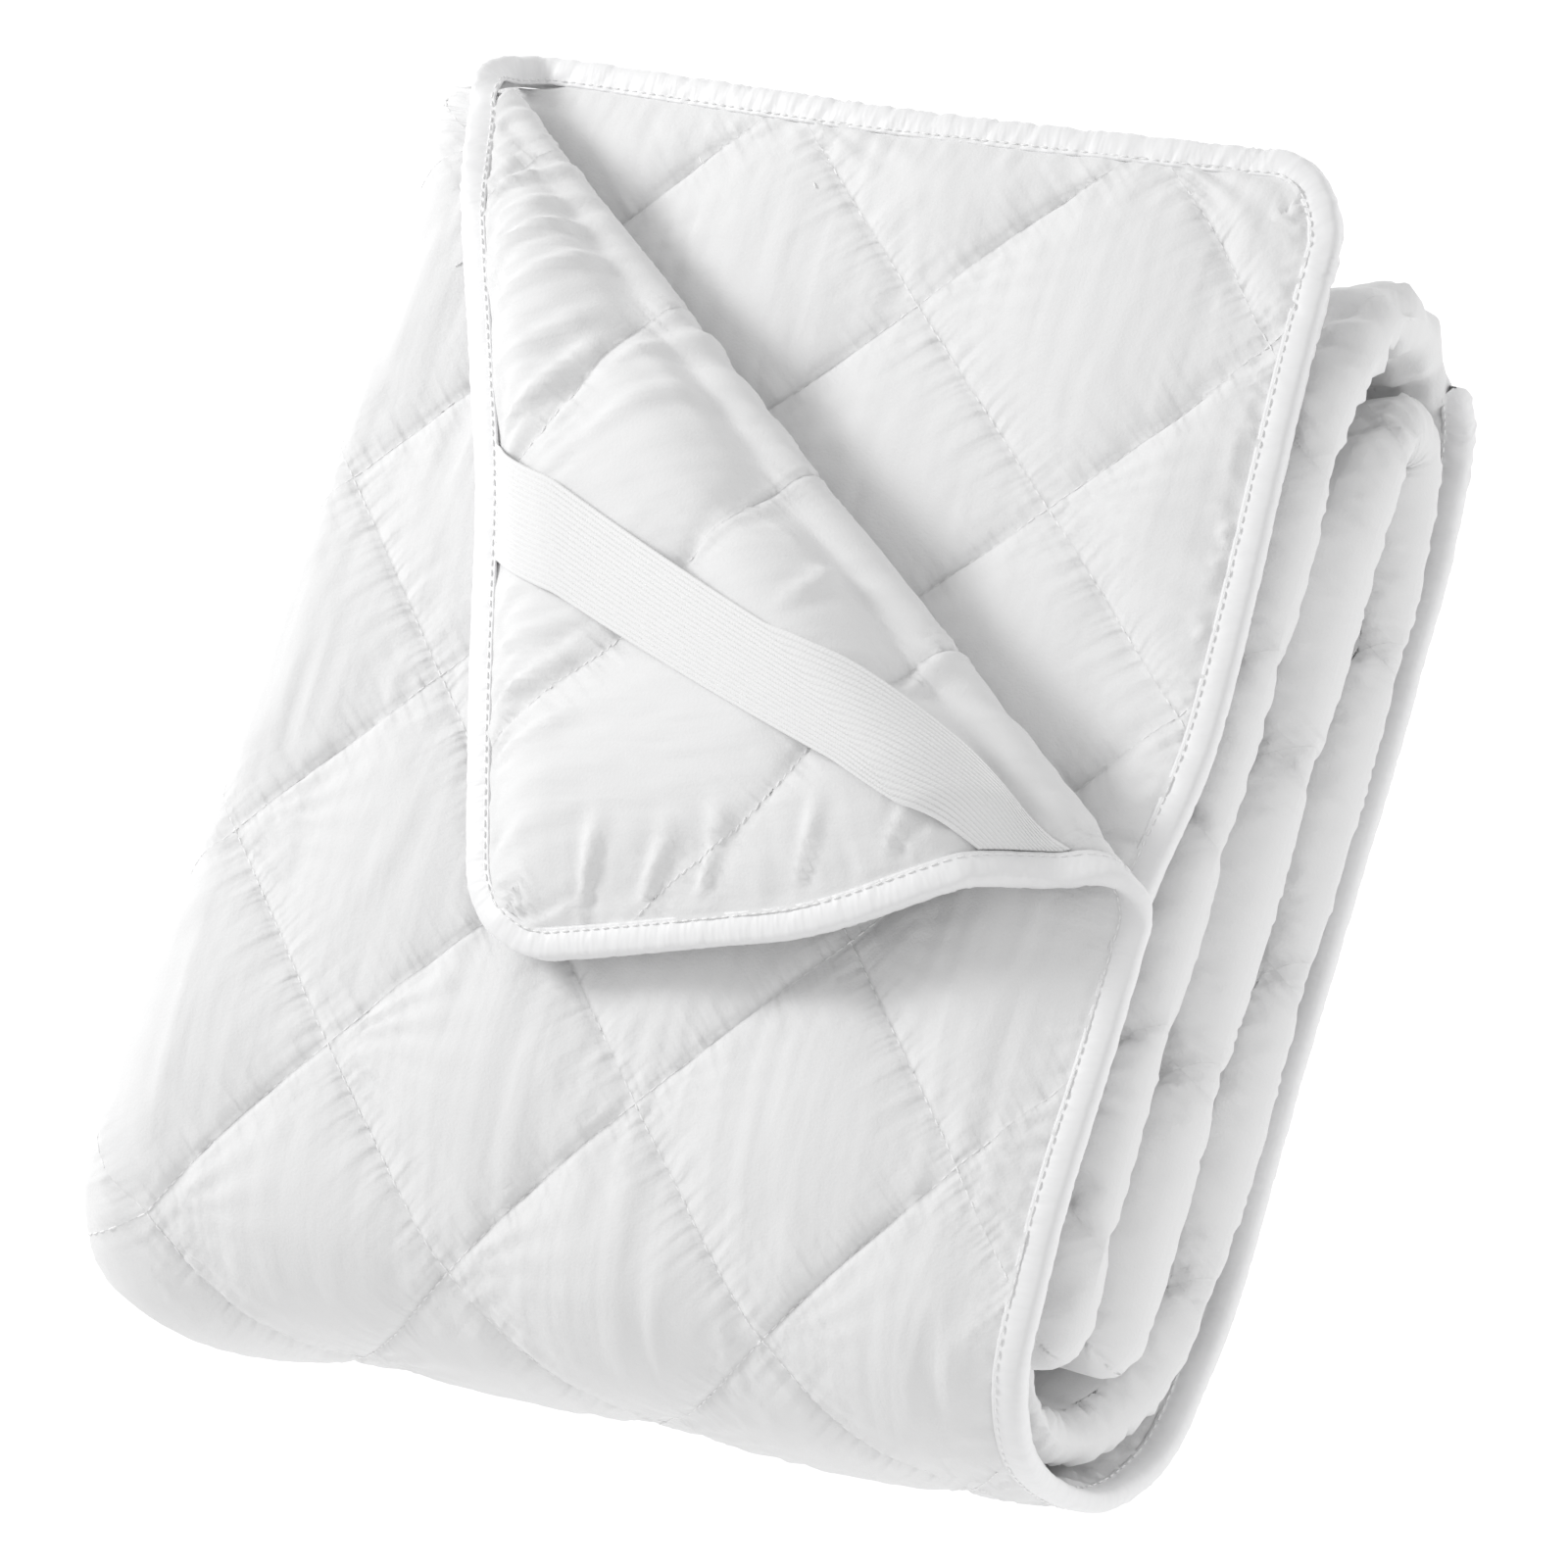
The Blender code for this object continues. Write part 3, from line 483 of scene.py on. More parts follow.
    def place(self, cloth: Cloth, x: Array, v: Array) -> Array:
        """Places in the bundle of points of one layer's middle.

        Args:
            cloth: Which layer.
            x: X of the points on the flat layer.
            v: Their distances from the top edge.

        Returns:
            The points, along the last axis.
        """
        x, v = np.broadcast_arrays(np.asarray(x, float), np.asarray(v, float))
        row = self.along(cloth, v)
        share = self.open_share(cloth, x)
        y, z = row[..., 0], mix(row[..., 1], row[..., 2], share)
        x = x + self.side_shift(cloth, v) * share
        full = self.near_turn(v, self.turn_full_length) * smooth(1.0 - (x - self.fold_side) / self.turn_full_width)
        y = y - self.turn_fullness * full - self.side_hang(cloth, v) * share
        front = v < self.at("into turn")
        if cloth is Cloth.OUTER:
            turned = self.corner.place(x, y, v)
            return np.where(front[..., None], turned, np.stack([x, y, z], axis=-1))
        beside = smooth(1.0 - (x - self.fold_side) / self.second_rise_width)
        rise = (self.second_top_rise + self.second_fold_rise * beside) * smooth(1.0 - v / self.second_rise_length)
        y = y + np.where(front, rise, 0.0)
        bared = smooth(self.corner.beyond(x, y) / self.bared_ease) * (1.0 - share)
        z = z + np.where(front, self.bared_swell * bared, 0.0)
        return np.stack([x, y, z], axis=-1)

    def place_on_fold(self, angle: Array, v: Array) -> Array:
        """Places on the fold: angle 0 is the outer layer's side of it, pi the inner's.

        Args:
            angle: Angles round the fold.
            v: Distances along the strip.

        Returns:
            The points, along the last axis.
        """
        outer = self.place(Cloth.OUTER, self.fold_side, v)
        inner = self.place(Cloth.INNER, self.fold_side, v)
        angle = np.broadcast_to(angle, np.shape(v))[..., None]
        bulge = self.fold_out(v)[..., None] * np.sin(angle) * np.array([1.0, 0.0, 0.0])
        return (outer + inner) / 2.0 + (outer - inner) / 2.0 * np.cos(angle) - bulge

    def rounded(self, cloth: Cloth, x: Array, v: Array) -> Tuple[Array, Array]:
        """Pull the square corners of a layer, at the top and at the inner end, into round ones.

        Args:
            cloth: Which layer.
            x: X of the points on the flat layer.
            v: Distances along the strip.

        Returns:
            The moved X and distances.
        """
        across = x - (self.side(cloth) - self.corner_radius)
        up = self.corner_radius - v
        inside = (across > 0.0) & (up > 0.0)
        pull = np.maximum(across, up) / np.maximum(np.hypot(across, up), 1e-9)
        x, v = (np.where(inside, self.side(cloth) - self.corner_radius + across * pull, x),
                np.where(inside, self.corner_radius - up * pull, v))
        across, down = x - (self.side(cloth) - self.end_radius), v - (self.length - self.end_radius)
        inside = (across > 0.0) & (down > 0.0)
        pull = np.maximum(across, down) / np.maximum(np.hypot(across, down), 1e-9)
        return (np.where(inside, self.side(cloth) - self.end_radius + across * pull, x),
                np.where(inside, self.length - self.end_radius + down * pull, v))


@dataclass
class TurnedCorner:
    """The front's free corner, rolled back over the front."""

    strip: FoldedStrip
    start: Tuple[float, float] = (-0.190, 0.5035)
    end: Tuple[float, float] = (0.218, 0.192)
    radius: Tuple[float, float] = (0.005, 0.010)
    radius_power: float = 0.75
    rest: float = 0.0265
    edge_rest: float = 0.0190
    edge_ease: float = 0.045
    edge_offset: float = 0.0049
    settle: float = 0.030
    share: float = 0.895
    slide: float = 0.025
    slide_ease: float = 0.100
    arch_height: float = 0.018
    arch_at: float = 0.050
    arch_start: float = 0.035
    arch_from: float = 0.140
    arch_ease: float = 0.260

    def __post_init__(self) -> None:
        """Work out the roll's own directions."""
        line = np.array(self.end) - np.array(self.start)
        self.length = float(np.hypot(*line))
        self.forward = line / self.length
        self.across = np.array([-self.forward[1], self.forward[0]])

    def roll_radius(self, t: Array) -> Array:
        """Radius of the roll at distances along it."""
        return mix(*self.radius, np.clip(t / self.length, 0.0, 1.0) ** self.radius_power)

    def along(self, x: Array, y: Array) -> Array:
        """Distance along the roll's line."""
        return (x - self.start[0]) * self.forward[0] + (y - self.start[1]) * self.forward[1]

    def beyond(self, x: Array, y: Array) -> Array:
        """Distance past the roll's line, towards the corner."""
        return (x - self.start[0]) * self.across[0] + (y - self.start[1]) * self.across[1]

    def front_height(self, x: Array, y: Array) -> Array:
        """Height of the front layer's middle."""
        row = self.strip.along(Cloth.OUTER, np.maximum(self.strip.top_y - y, 0.0))
        return mix(row[..., 1], row[..., 2], self.strip.open_share(Cloth.OUTER, x))

    def place(self, x: Array, y: Array, v: Array) -> Array:
        """Places of points of the front layer, turned back where they lie past the roll.

        Args:
            x: X of the points.
            y: Y of the points.
            v: Distances along the strip.

        Returns:
            The points, along the last axis.
        """
        t, radius = self.along(x, y), self.roll_radius(self.along(x, y))
        past = self.beyond(x, y) + radius
        round_end = math.pi * radius
        angle = np.clip(past, 0.0, round_end) / radius
        on_roll = radius * (np.sin(angle) - 1.0)
        rest = np.maximum(past - round_end, 0.0) * self.share
        to_edge = np.minimum(v, self.strip.outer_side - x) + self.edge_offset
        lying = mix(self.edge_rest, self.rest, smooth(to_edge / self.edge_ease))
        arched = rest / self.arch_at * np.exp(1.0 - rest / self.arch_at) * smooth(rest / self.arch_start)
        settled = (mix(2.0 * radius, lying, smooth(rest / self.settle))
                   + self.arch_height * arched * smooth((t - self.arch_from) / self.arch_ease))
        turned = past >= round_end
        offset = np.where(turned, -radius - rest, on_roll)
        rise = np.where(turned, settled, radius * (1.0 - np.cos(angle)))
        t = t + self.slide * smooth(rest / self.slide_ease)
        flat_x = np.where(past <= 0.0, x, self.start[0] + self.forward[0] * t + self.across[0] * offset)
        flat_y = np.where(past <= 0.0, y, self.start[1] + self.forward[1] * t + self.across[1] * offset)
        rise = np.where(past <= 0.0, 0.0, rise)
        return np.stack([flat_x, flat_y, self.front_height(flat_x, flat_y) + rise], axis=-1)


# --- The quilted pad -----------------------------------------------------------------------------
class Face(Enum):
    """The two faces of the pad."""

    OUT = 1.0
    IN = -1.0


@dataclass
class PuckerSizes:
    """Sizes of the small folds that the sewing draws into the covers."""

    seam_height: float = 0.0013
    seam_start: float = 0.0050
    seam_reach: float = 0.014
    seam_pitch: float = 0.0085
    seam_cell: float = 0.030
    seam_gain: float = 1.6
    fan_height: float = 0.0011
    fan_angle: float = 0.25
    fan_reach: float = 0.024
    fan_cell: float = 0.03
    fan_sway: Tuple[float, float] = (3.0, 1.2)
    fan_uneven: float = 0.4
    fan_scatter: Tuple[Tuple[float, float], Tuple[float, float]] = ((1.7, 2.3), (5.1, 3.3))
    long_height: float = 0.0011
    long_sway: float = 0.15
    long_sway_cell: Tuple[float, float] = (0.09, 0.07)
    long_pitch: Tuple[float, float] = (0.0100, 0.055)
    long_level: float = 0.4
    long_uneven: float = 0.45
    long_uneven_cell: float = 0.06
    edge_height: float = 0.0014
    edge_pitch: float = 0.0090
    edge_reach: float = 0.019
    edge_start: float = 0.005
    edge_cell: float = 0.03
    edge_from: float = 0.4
    puff_spread: float = 0.10
    puff_scatter: Tuple[float, float] = (3.7, 5.3)
    line_wander: float = 0.004
    wander_across: Tuple[float, float] = (0.021, 0.023)
    wander_along: Tuple[float, float] = (0.024, 0.020)
    flap_height: float = 0.0022
    flap_pitch: float = 0.0125
    flap_reach: float = 0.034
    flap_lean: float = 0.35
    flap_cell: float = 0.05
    flap_from: float = 0.8
    pleat_height: float = 0.0020
    pleat_pitch: float = 0.0135
    pleat_length: float = 0.075
    pleat_width: float = 0.055
    pleat_lean: float = 0.25
    pleat_lean_from: float = 0.02
    pleat_cell: float = 0.04
    pleat_outside: float = 0.45
    arch_lean: float = 0.15
    flank_height: float = 0.0016
    flank_pitch: float = 0.012
    flank_cell: float = 0.012
    flank_lean: float = 0.5
    flank_lean_cell: float = 0.07
    flank_shifts: Tuple[float, float, float] = (5.0, 19.0, 9.0)
    bare_edge_share: float = 0.35
    cross_depth: float = 0.0021
    cross_width: float = 0.0052
    cross_reach: float = 0.050
    flank_width: float = 0.030


@dataclass(frozen=True)
class Crease:
    """One soft fold: from and to U and V on the flat cloth, its width and its height."""

    start: Tuple[float, float]
    end: Tuple[float, float]
    width: float = 0.0050
    height: float = 0.0022

    def rise(self, u: Array, v: Array) -> Array:
        """Height of the fold and of the troughs beside it.

        Args:
            u: Distances across the flat pad.
            v: Distances along the strip.

        Returns:
            The height at each point, below zero in the troughs.
        """
        line = np.array(self.end) - np.array(self.start)
        length = float(np.hypot(*line))
        along = ((u - self.start[0]) * line[0] + (v - self.start[1]) * line[1]) / length ** 2
        across = ((v - self.start[1]) * line[0] - (u - self.start[0]) * line[1]) / length
        widening = self.width * (CREASE_WIDTHS[0] + CREASE_WIDTHS[1] * np.clip(along, 0.0, 1.0))
        off = (across / widening) ** 2
        ends = (smooth((along + CREASE_START[0]) / CREASE_START[1])
                * smooth((CREASE_END[0] - along) / CREASE_END[1]))
        return self.height * (1.0 - TROUGH * off) * np.exp(-off) * ends


FLAP_CREASES = (
    Crease((-0.122, 0.008), (-0.128, 0.036), 0.0040, 0.0024),
    Crease((-0.104, 0.010), (-0.112, 0.042), 0.0040, 0.0020),
    Crease((-0.088, 0.012), (-0.099, 0.052), 0.0045, 0.0026),
    Crease((-0.066, 0.012), (-0.080, 0.060), 0.0045, 0.0022),
    Crease((-0.044, 0.012), (-0.049, 0.058), 0.0050, 0.0020),
    Crease((-0.020, 0.012), (-0.036, 0.060), 0.0050, 0.0026),
    Crease((-0.030, 0.070), (-0.044, 0.112), 0.0070, 0.0018),
    Crease((0.000, 0.060), (-0.014, 0.112), 0.0070, 0.0016),
    Crease((0.056, 0.012), (0.048, 0.046), 0.0045, 0.0020),
    Crease((0.078, 0.012), (0.070, 0.052), 0.0050, 0.0018),
    Crease((0.100, 0.010), (0.084, 0.050), 0.0050, 0.0026),
    Crease((0.124, 0.010), (0.112, 0.048), 0.0050, 0.0018),
    Crease((0.188, 0.048), (0.158, 0.062), 0.0045, 0.0022),
    Crease((0.188, 0.076), (0.164, 0.094), 0.0045, 0.0020),
    Crease((0.188, 0.104), (0.160, 0.118), 0.0050, 0.0024),
    Crease((0.189, 0.150), (0.168, 0.166), 0.0045, 0.0020),
    Crease((0.189, 0.196), (0.172, 0.214), 0.0045, 0.0020),
    Crease((0.060, 0.112), (0.038, 0.142), 0.0065, 0.0018),
    Crease((0.098, 0.150), (0.072, 0.172), 0.0065, 0.0018),
    Crease((0.132, 0.200), (0.112, 0.216), 0.0060, 0.0018),
)


# Pleats gathered into the upper arch, listed one by one: distance from the arch's middle along the
# strip, half the width, the depth and how far in from the side it reaches.
ARCH_PLEATS = (
    (-0.046, 0.0065, 0.0018, 0.036),
    (-0.027, 0.0080, 0.0030, 0.055),
    (-0.006, 0.0075, 0.0034, 0.060),
    (0.014, 0.0065, 0.0024, 0.044),
    (0.029, 0.0060, 0.0027, 0.050),
    (0.045, 0.0065, 0.0019, 0.036),
)


@dataclass
class QuiltedPad:
    """The pad: two cotton covers and their filling, sewn through along diamonds."""

    strip: FoldedStrip
    offset: Array
    band: "CornerElastic"
    puckers: PuckerSizes = field(default_factory=PuckerSizes)
    diamond_width: float = 0.139
    diamond_length: float = 0.1516
    steps: int = 6
    puff: float = 0.024
    inner_fullness: float = 1.18
    inner_ease: float = 0.045
    seam: float = 0.0052
    fold_thickness: float = 0.018
    fold_even: Tuple[float, float] = (0.014, 0.8)
    fold_even_ease: float = 0.012
    turn_even: Tuple[float, float] = (0.016, 0.55)
    bound_edge: float = 0.012
    bound_ease: float = 0.030
    pressed_edge: float = 0.0074
    pressed_until: float = 0.0032
    pressed_ease: float = 0.0190
    bare_edge_round: float = 0.55
    bare_edge_share: float = 0.10
    outer_node_x: float = 0.092
    inner_diamond_width: float = 0.164
    inner_node_x: float = -0.059
    inner_row_shift: float = 0.5
    flap_drift: float = 0.62
    flap_drift_from: float = 0.190
    flap_drift_ease: float = 0.150
    flap_hidden: float = 0.030
    side_seam_share: float = 0.58
    first_crossing: float = 0.031
    roll_thickness: float = 1.25
    roll_ease: float = 0.020
    fold_end_relief: float = 0.0055
    fold_end_width: float = 0.035
    fold_end_length: float = 0.030
    floor_press: float = 0.0020
    edge_steps: Tuple[float, ...] = (0.0, 0.0045, 0.012)
    clear_side: float = 2.0
    clear_end: float = 1.5
    probe: float = 0.003
    least_half: float = 0.0006
    wall: float = 0.01
    flank_width: float = 0.021
    near_roll: float = 0.030
    cover_margin: float = 0.050
    second_margin: float = 0.010
    finer_margin: float = 0.012
    finest_share: float = 0.55

    def __post_init__(self) -> None:
        """Work out half a diamond, and the distance across the lines for one lattice number."""
        self.half_width, self.half_length = self.diamond_width / 2.0, self.diamond_length / 2.0
        self.inner_half_width = self.inner_diamond_width / 2.0
        self.across_line = 1.0 / math.hypot(1.0 / self.half_width, 1.0 / self.half_length)

    def columns(self) -> Array:
        """U of the first mesh lines across the flat pad, from the outer raw edge to the inner one.

        Returns:
            The distances across, falling.
        """
        strip = self.strip
        lines = []
        for cloth, node, half in ((Cloth.OUTER, self.outer_node_x, self.half_width),
                                  (Cloth.INNER, self.inner_node_x, self.inner_half_width)):
            side, step = strip.side(cloth), half / self.steps
            first = node + (side - self.clear_side * self.edge_steps[-1] - node) // step * step
            inner = np.arange(first, strip.fold_side + step / 2.0, -step)
            lines.append(np.concatenate([side - np.array(self.edge_steps), inner, [strip.fold_side]]))
        fold = spaced(strip.fold_side, strip.inner_start, step)[1:-1]
        return np.concatenate([lines[0], fold, strip.mirrored(lines[1][::-1])])

    def rows(self) -> Array:
        """V of the first mesh lines along the strip.

        Returns:
            The distances along, rising.
        """
        step, edge = self.half_length / self.steps, np.array(self.edge_steps)
        clear = self.clear_end * edge[-1]
        first = self.first_crossing - (self.first_crossing - clear) // step * step
        lines = np.arange(first, self.strip.length - clear, step)
        return np.concatenate([edge, lines, self.strip.length - edge[::-1]])

    def lattice(self, u: Array, v: Array) -> Tuple[Array, Array]:
        """Quilting lattice numbers: the lines cross where both are whole and their sum is even.

        Args:
            u: Distances across the flat pad.
            v: Distances along the strip.

        Returns:
            The numbers across and along.
        """
        on_outer = u > self.strip.fold_side - self.strip.fold_arc / 2.0
        x = self.strip.mirrored(u)
        row = (v - self.first_crossing) / self.half_length
        i = np.where(on_outer, (u - self.outer_node_x) / self.half_width,
                     (x - self.inner_node_x) / self.inner_half_width)
        j = np.where(on_outer, row, row + self.inner_row_shift)
        beyond = self.strip.corner.beyond(u, self.strip.top_y - v)
        drift = (self.flap_drift * smooth((self.flap_drift_from - beyond) / self.flap_drift_ease)
                 * smooth((beyond + self.flap_hidden) / self.flap_hidden))
        drift = np.where(on_outer & (v < self.strip.at("into turn")), drift, 0.0)
        wander, across, along = self.puckers.line_wander, self.puckers.wander_across, self.puckers.wander_along
        return (i - drift / 2.0 + wander * soft_noise(u / across[0], v / across[1], Pattern.LINES_ACROSS),
                j - drift / 2.0 + wander * soft_noise(u / along[0], v / along[1], Pattern.LINES_ALONG))

    def families(self, u: Array, v: Array) -> Tuple[Array, Array]:
        """Numbers that are even on the lines of the two families."""
        i, j = self.lattice(u, v)
        return i + j, i - j

    def flap_share(self, u: Array, v: Array) -> Array:
        """1 on the turned corner, where only one family of lines is sewn, and 0 elsewhere.

        Args:
            u: Distances across the flat pad.
            v: Distances along the strip.

        Returns:
            One value for each point.
        """
        strip = self.strip
        share = smooth((strip.corner.beyond(u, strip.top_y - v) + self.flap_hidden) / self.flap_hidden)
        return np.where((u > strip.fold_side) & (v < strip.at("into turn")), share, 0.0)

    def line_distances(self, u: Array, v: Array) -> Tuple[Array, Array]:
        """Distances from the lines of the two families: 0 on a line and 1 midway between two."""
        first, second = (np.abs(off_line(number)) for number in self.families(u, v))
        return first, mix(second, 1.0, self.flap_share(u, v))

    def place(self, u: Array, v: Array) -> Array:
        """Places in the bundle of the pad's middle.

        Args:
            u: Distances across the flat pad.
            v: Distances along the strip.

        Returns:
            The points, along the last axis.
        """
        strip = self.strip
        on_outer, on_fold, x = strip.layers(u)
        off_fold = np.where(on_fold, 0.0, x - strip.fold_side)
        v = v + (self.fold_end_relief * smooth(1.0 - off_fold / self.fold_end_width)
                 * smooth(1.0 - v / self.fold_end_length))
        outer = strip.place(Cloth.OUTER, *strip.rounded(Cloth.OUTER, x, v))
        inner = strip.place(Cloth.INNER, *strip.rounded(Cloth.INNER, x, v))
        fold = strip.place_on_fold(math.pi * np.clip(strip.fold_side - u, 0.0, strip.fold_arc) / strip.fold_arc, v)
        places = np.where(on_outer[..., None], outer, np.where(on_fold[..., None], fold, inner))
        return places - self.offset

    def normals(self, u: Array, v: Array) -> Array:
        """Directions out of the pad's outer face.

        Args:
            u: Distances across the flat pad.
            v: Distances along the strip.

        Returns:
            The directions, of length one.
        """
        step = self.probe
        along_u = self.place(u - step, v) - self.place(u + step, v)
        along_v = self.place(u, v + step) - self.place(u, v - step)
        return unit(np.cross(along_u, along_v))

    def edge_distances(self, u: Array, v: Array) -> Tuple[Array, Array, Array]:
        """Distances to the side edge and to the nearer end, and how bound the nearest edge is.

        Args:
            u: Distances across the flat pad.
            v: Distances along the strip.

        Returns:
            The two distances, and 1 where the edge is bound and 0 where it is bare.
        """
        strip = self.strip
        on_outer, on_fold, x = strip.layers(u)
        to_side = np.where(on_outer, strip.outer_side, strip.inner_side) - x
        to_side = np.where(on_fold, 1.0, to_side)
        to_end = np.minimum(v, strip.length - v)
        until = np.where(on_outer, strip.outer_bound, strip.inner_bound)
        bound = smooth((until - v) / self.bound_ease + 0.5)
        return to_side, to_end, bound

    def thickness(self, u: Array, v: Array) -> Array:
        """Thickness of the pad.

        Args:
            u: Distances across the flat pad.
            v: Distances along the strip.

        Returns:
            One value for each point.
        """
        strip = self.strip
        a, b = self.families(u, v)
        first, second = self.line_distances(u, v)
        share = np.sqrt(1.0 - (1.0 - first) ** 2) * np.sqrt(1.0 - (1.0 - second) ** 2)
        scatter = self.puckers.puff_scatter
        uneven = 1.0 + self.puckers.puff_spread * soft_noise(
            np.floor(a / 2.0) * scatter[0], np.floor(b / 2.0) * scatter[1], Pattern.DIAMOND_THICKNESS)
        fuller = mix(1.0, self.inner_fullness, smooth((strip.inner_start - u) / self.inner_ease))
        quilt = mix(self.seam, self.puff * uneven * fuller, share)
        even, even_share = self.turn_even
        quilt = mix(quilt, even, even_share * strip.near_turn(v, strip.turn_full_length))
        on_outer, on_fold, x = strip.layers(u)
        to_side, to_end, bound = self.edge_distances(u, v)
        side_row = np.where(on_outer, strip.along(Cloth.OUTER, v)[..., 3], strip.along(Cloth.INNER, v)[..., 3])
        wide = side_row * mix(self.side_seam_share, 1.0, quilt / self.puff)
        flank = mix(quilt, wide, smooth(1.0 - to_side / strip.side_blend))
        corner = strip.corner
        y = strip.top_y - v
        radius = corner.roll_radius(corner.along(x, y))
        half_turn = math.pi / 2.0 * radius
        off_roll = np.abs(corner.beyond(x, y) + radius - half_turn) - half_turn
        limit = np.minimum(flank, self.roll_thickness * radius)
        rolled = mix(flank, limit, smooth(1.0 - off_roll / self.roll_ease))
        flank = np.where(on_outer & (v < strip.at("into turn")), rolled, flank)
        flank = mix(flank, np.minimum(flank, self.bound_edge), smooth(1.0 - v / self.bound_ease))
        even, even_share = self.fold_even
        inward = smooth(np.minimum(strip.fold_side - u, u - strip.inner_start) / self.fold_even_ease)
        folded = mix(np.minimum(quilt, self.fold_thickness), even, even_share * inward)
        folded = mix(folded, np.minimum(folded, self.bound_edge), smooth(1.0 - v / self.bound_ease))
        full = np.where(on_fold, folded, flank)
        to_edge = np.minimum(to_side, to_end)
        risen = 1.0 - np.clip((to_edge - self.pressed_until) / self.pressed_ease, 0.0, 1.0)
        pressed = mix(np.minimum(full, self.pressed_edge), full, np.sqrt(1.0 - risen ** 2))
        round_share = np.clip(to_edge / (full * self.bare_edge_round), 0.0, 1.0)
        bare = full * mix(self.bare_edge_share, 1.0, np.sqrt(1.0 - (1.0 - round_share) ** 2))
        return mix(bare, pressed, bound)

    def relief(self, u: Array, v: Array, face: Array) -> Array:
        """Height of the small folds above the plain face.

        Args:
            u: Distances across the flat pad.
            v: Distances along the strip.
            face: 1 on the outer face and -1 on the inner one.

        Returns:
            The height at each point.
        """
        sizes = self.puckers
        a, b = self.families(u, v)
        other = np.where(face > 0.0, 0.0, FACE_SHIFT)
        flap = self.flap_share(u, v)
        height = np.zeros_like(a)
        for number, along, pattern, shown in ((a, b, Pattern.FIRST_SEAMS, 1.0),
                                              (b, a, Pattern.SECOND_SEAMS, 1.0 - flap)):
            off = off_line(number)
            distance = np.abs(off) * self.across_line
            lane = np.round(number / 2.0) * LANE_SHIFTS[0] + np.sign(off) * LANE_SHIFTS[1] + other
            folds = soft_noise(along * self.across_line / sizes.seam_pitch * 2.0 + lane,
                               distance / sizes.seam_cell + lane, pattern)
            height += (shown * sizes.seam_height * np.exp(-distance / sizes.seam_reach)
                       * ridges(folds, gain=sizes.seam_gain) * smooth(distance / sizes.seam_start))
        i, j = (a + b) / 2.0, (a - b) / 2.0
        low_a, low_b = np.floor(a / 2.0), np.floor(b / 2.0)
        right = (i - low_a - low_b) * self.half_width
        up = (j - low_a + low_b) * self.half_length
        reach = np.hypot(right, up)
        angle = np.arctan2(up, right + 1e-6)
        starts, heights = sizes.fan_scatter
        wave = np.cos(
            angle / sizes.fan_angle * 2.0 * math.pi
            + sizes.fan_sway[0] * soft_noise(low_a * starts[0], low_b * starts[1], Pattern.FAN_START)
            + sizes.fan_sway[1] * soft_noise(reach / sizes.fan_cell + low_a, angle * 2.0 + low_b, Pattern.FAN_SWAY))
        window = (reach / sizes.fan_reach) ** 2 * np.exp(2.0 - 2.0 * reach / sizes.fan_reach)
        uneven = soft_noise(low_a * heights[0], low_b * heights[1], Pattern.FAN_HEIGHT)
        height += (1.0 - flap) * sizes.fan_height * wave * window * (
            1.0 - sizes.fan_uneven + sizes.fan_uneven * uneven)
        pitch, cell = sizes.long_pitch, sizes.long_sway_cell
        sway = sizes.long_sway * soft_noise(u / cell[0] + other, v / cell[1], Pattern.LONG_SWAY)
        folds = soft_noise(u / pitch[0] + sway * 2.0 + other, v / pitch[1] + sway, Pattern.LONG_FOLDS)
        uneven = soft_noise(u / sizes.long_uneven_cell + other, v / sizes.long_uneven_cell, Pattern.LONG_STRENGTH)
        strength = 1.0 - sizes.long_uneven + sizes.long_uneven * uneven
        height += sizes.long_height * ridges(folds, sizes.long_level) * strength
        to_side, to_end, bound = self.edge_distances(u, v)
        for to_edge, along, pattern in ((to_side, v, Pattern.SIDE_EDGE), (to_end, u, Pattern.END_EDGE)):
            folds = soft_noise(along / sizes.edge_pitch * 2.0 + other, to_edge / sizes.edge_cell, pattern)
            height += (mix(sizes.bare_edge_share, 1.0, bound) * sizes.edge_height * np.exp(-to_edge / sizes.edge_reach)
                       * ridges(folds) * smooth(to_edge / sizes.edge_start - sizes.edge_from))
        folds = soft_noise((u + sizes.flap_lean * v) / sizes.flap_pitch * 2.0, v / sizes.flap_cell,
                           Pattern.FLAP_PLEATS)
        height += (flap * sizes.flap_height * np.exp(-v / sizes.flap_reach) * ridges(folds)
                   * smooth(v / sizes.edge_start - sizes.flap_from))
        for crease in FLAP_CREASES:
            height += np.where(face < 0.0, flap * crease.rise(u, v), 0.0)
        return height + self.side_folds(u, v, face, to_side)

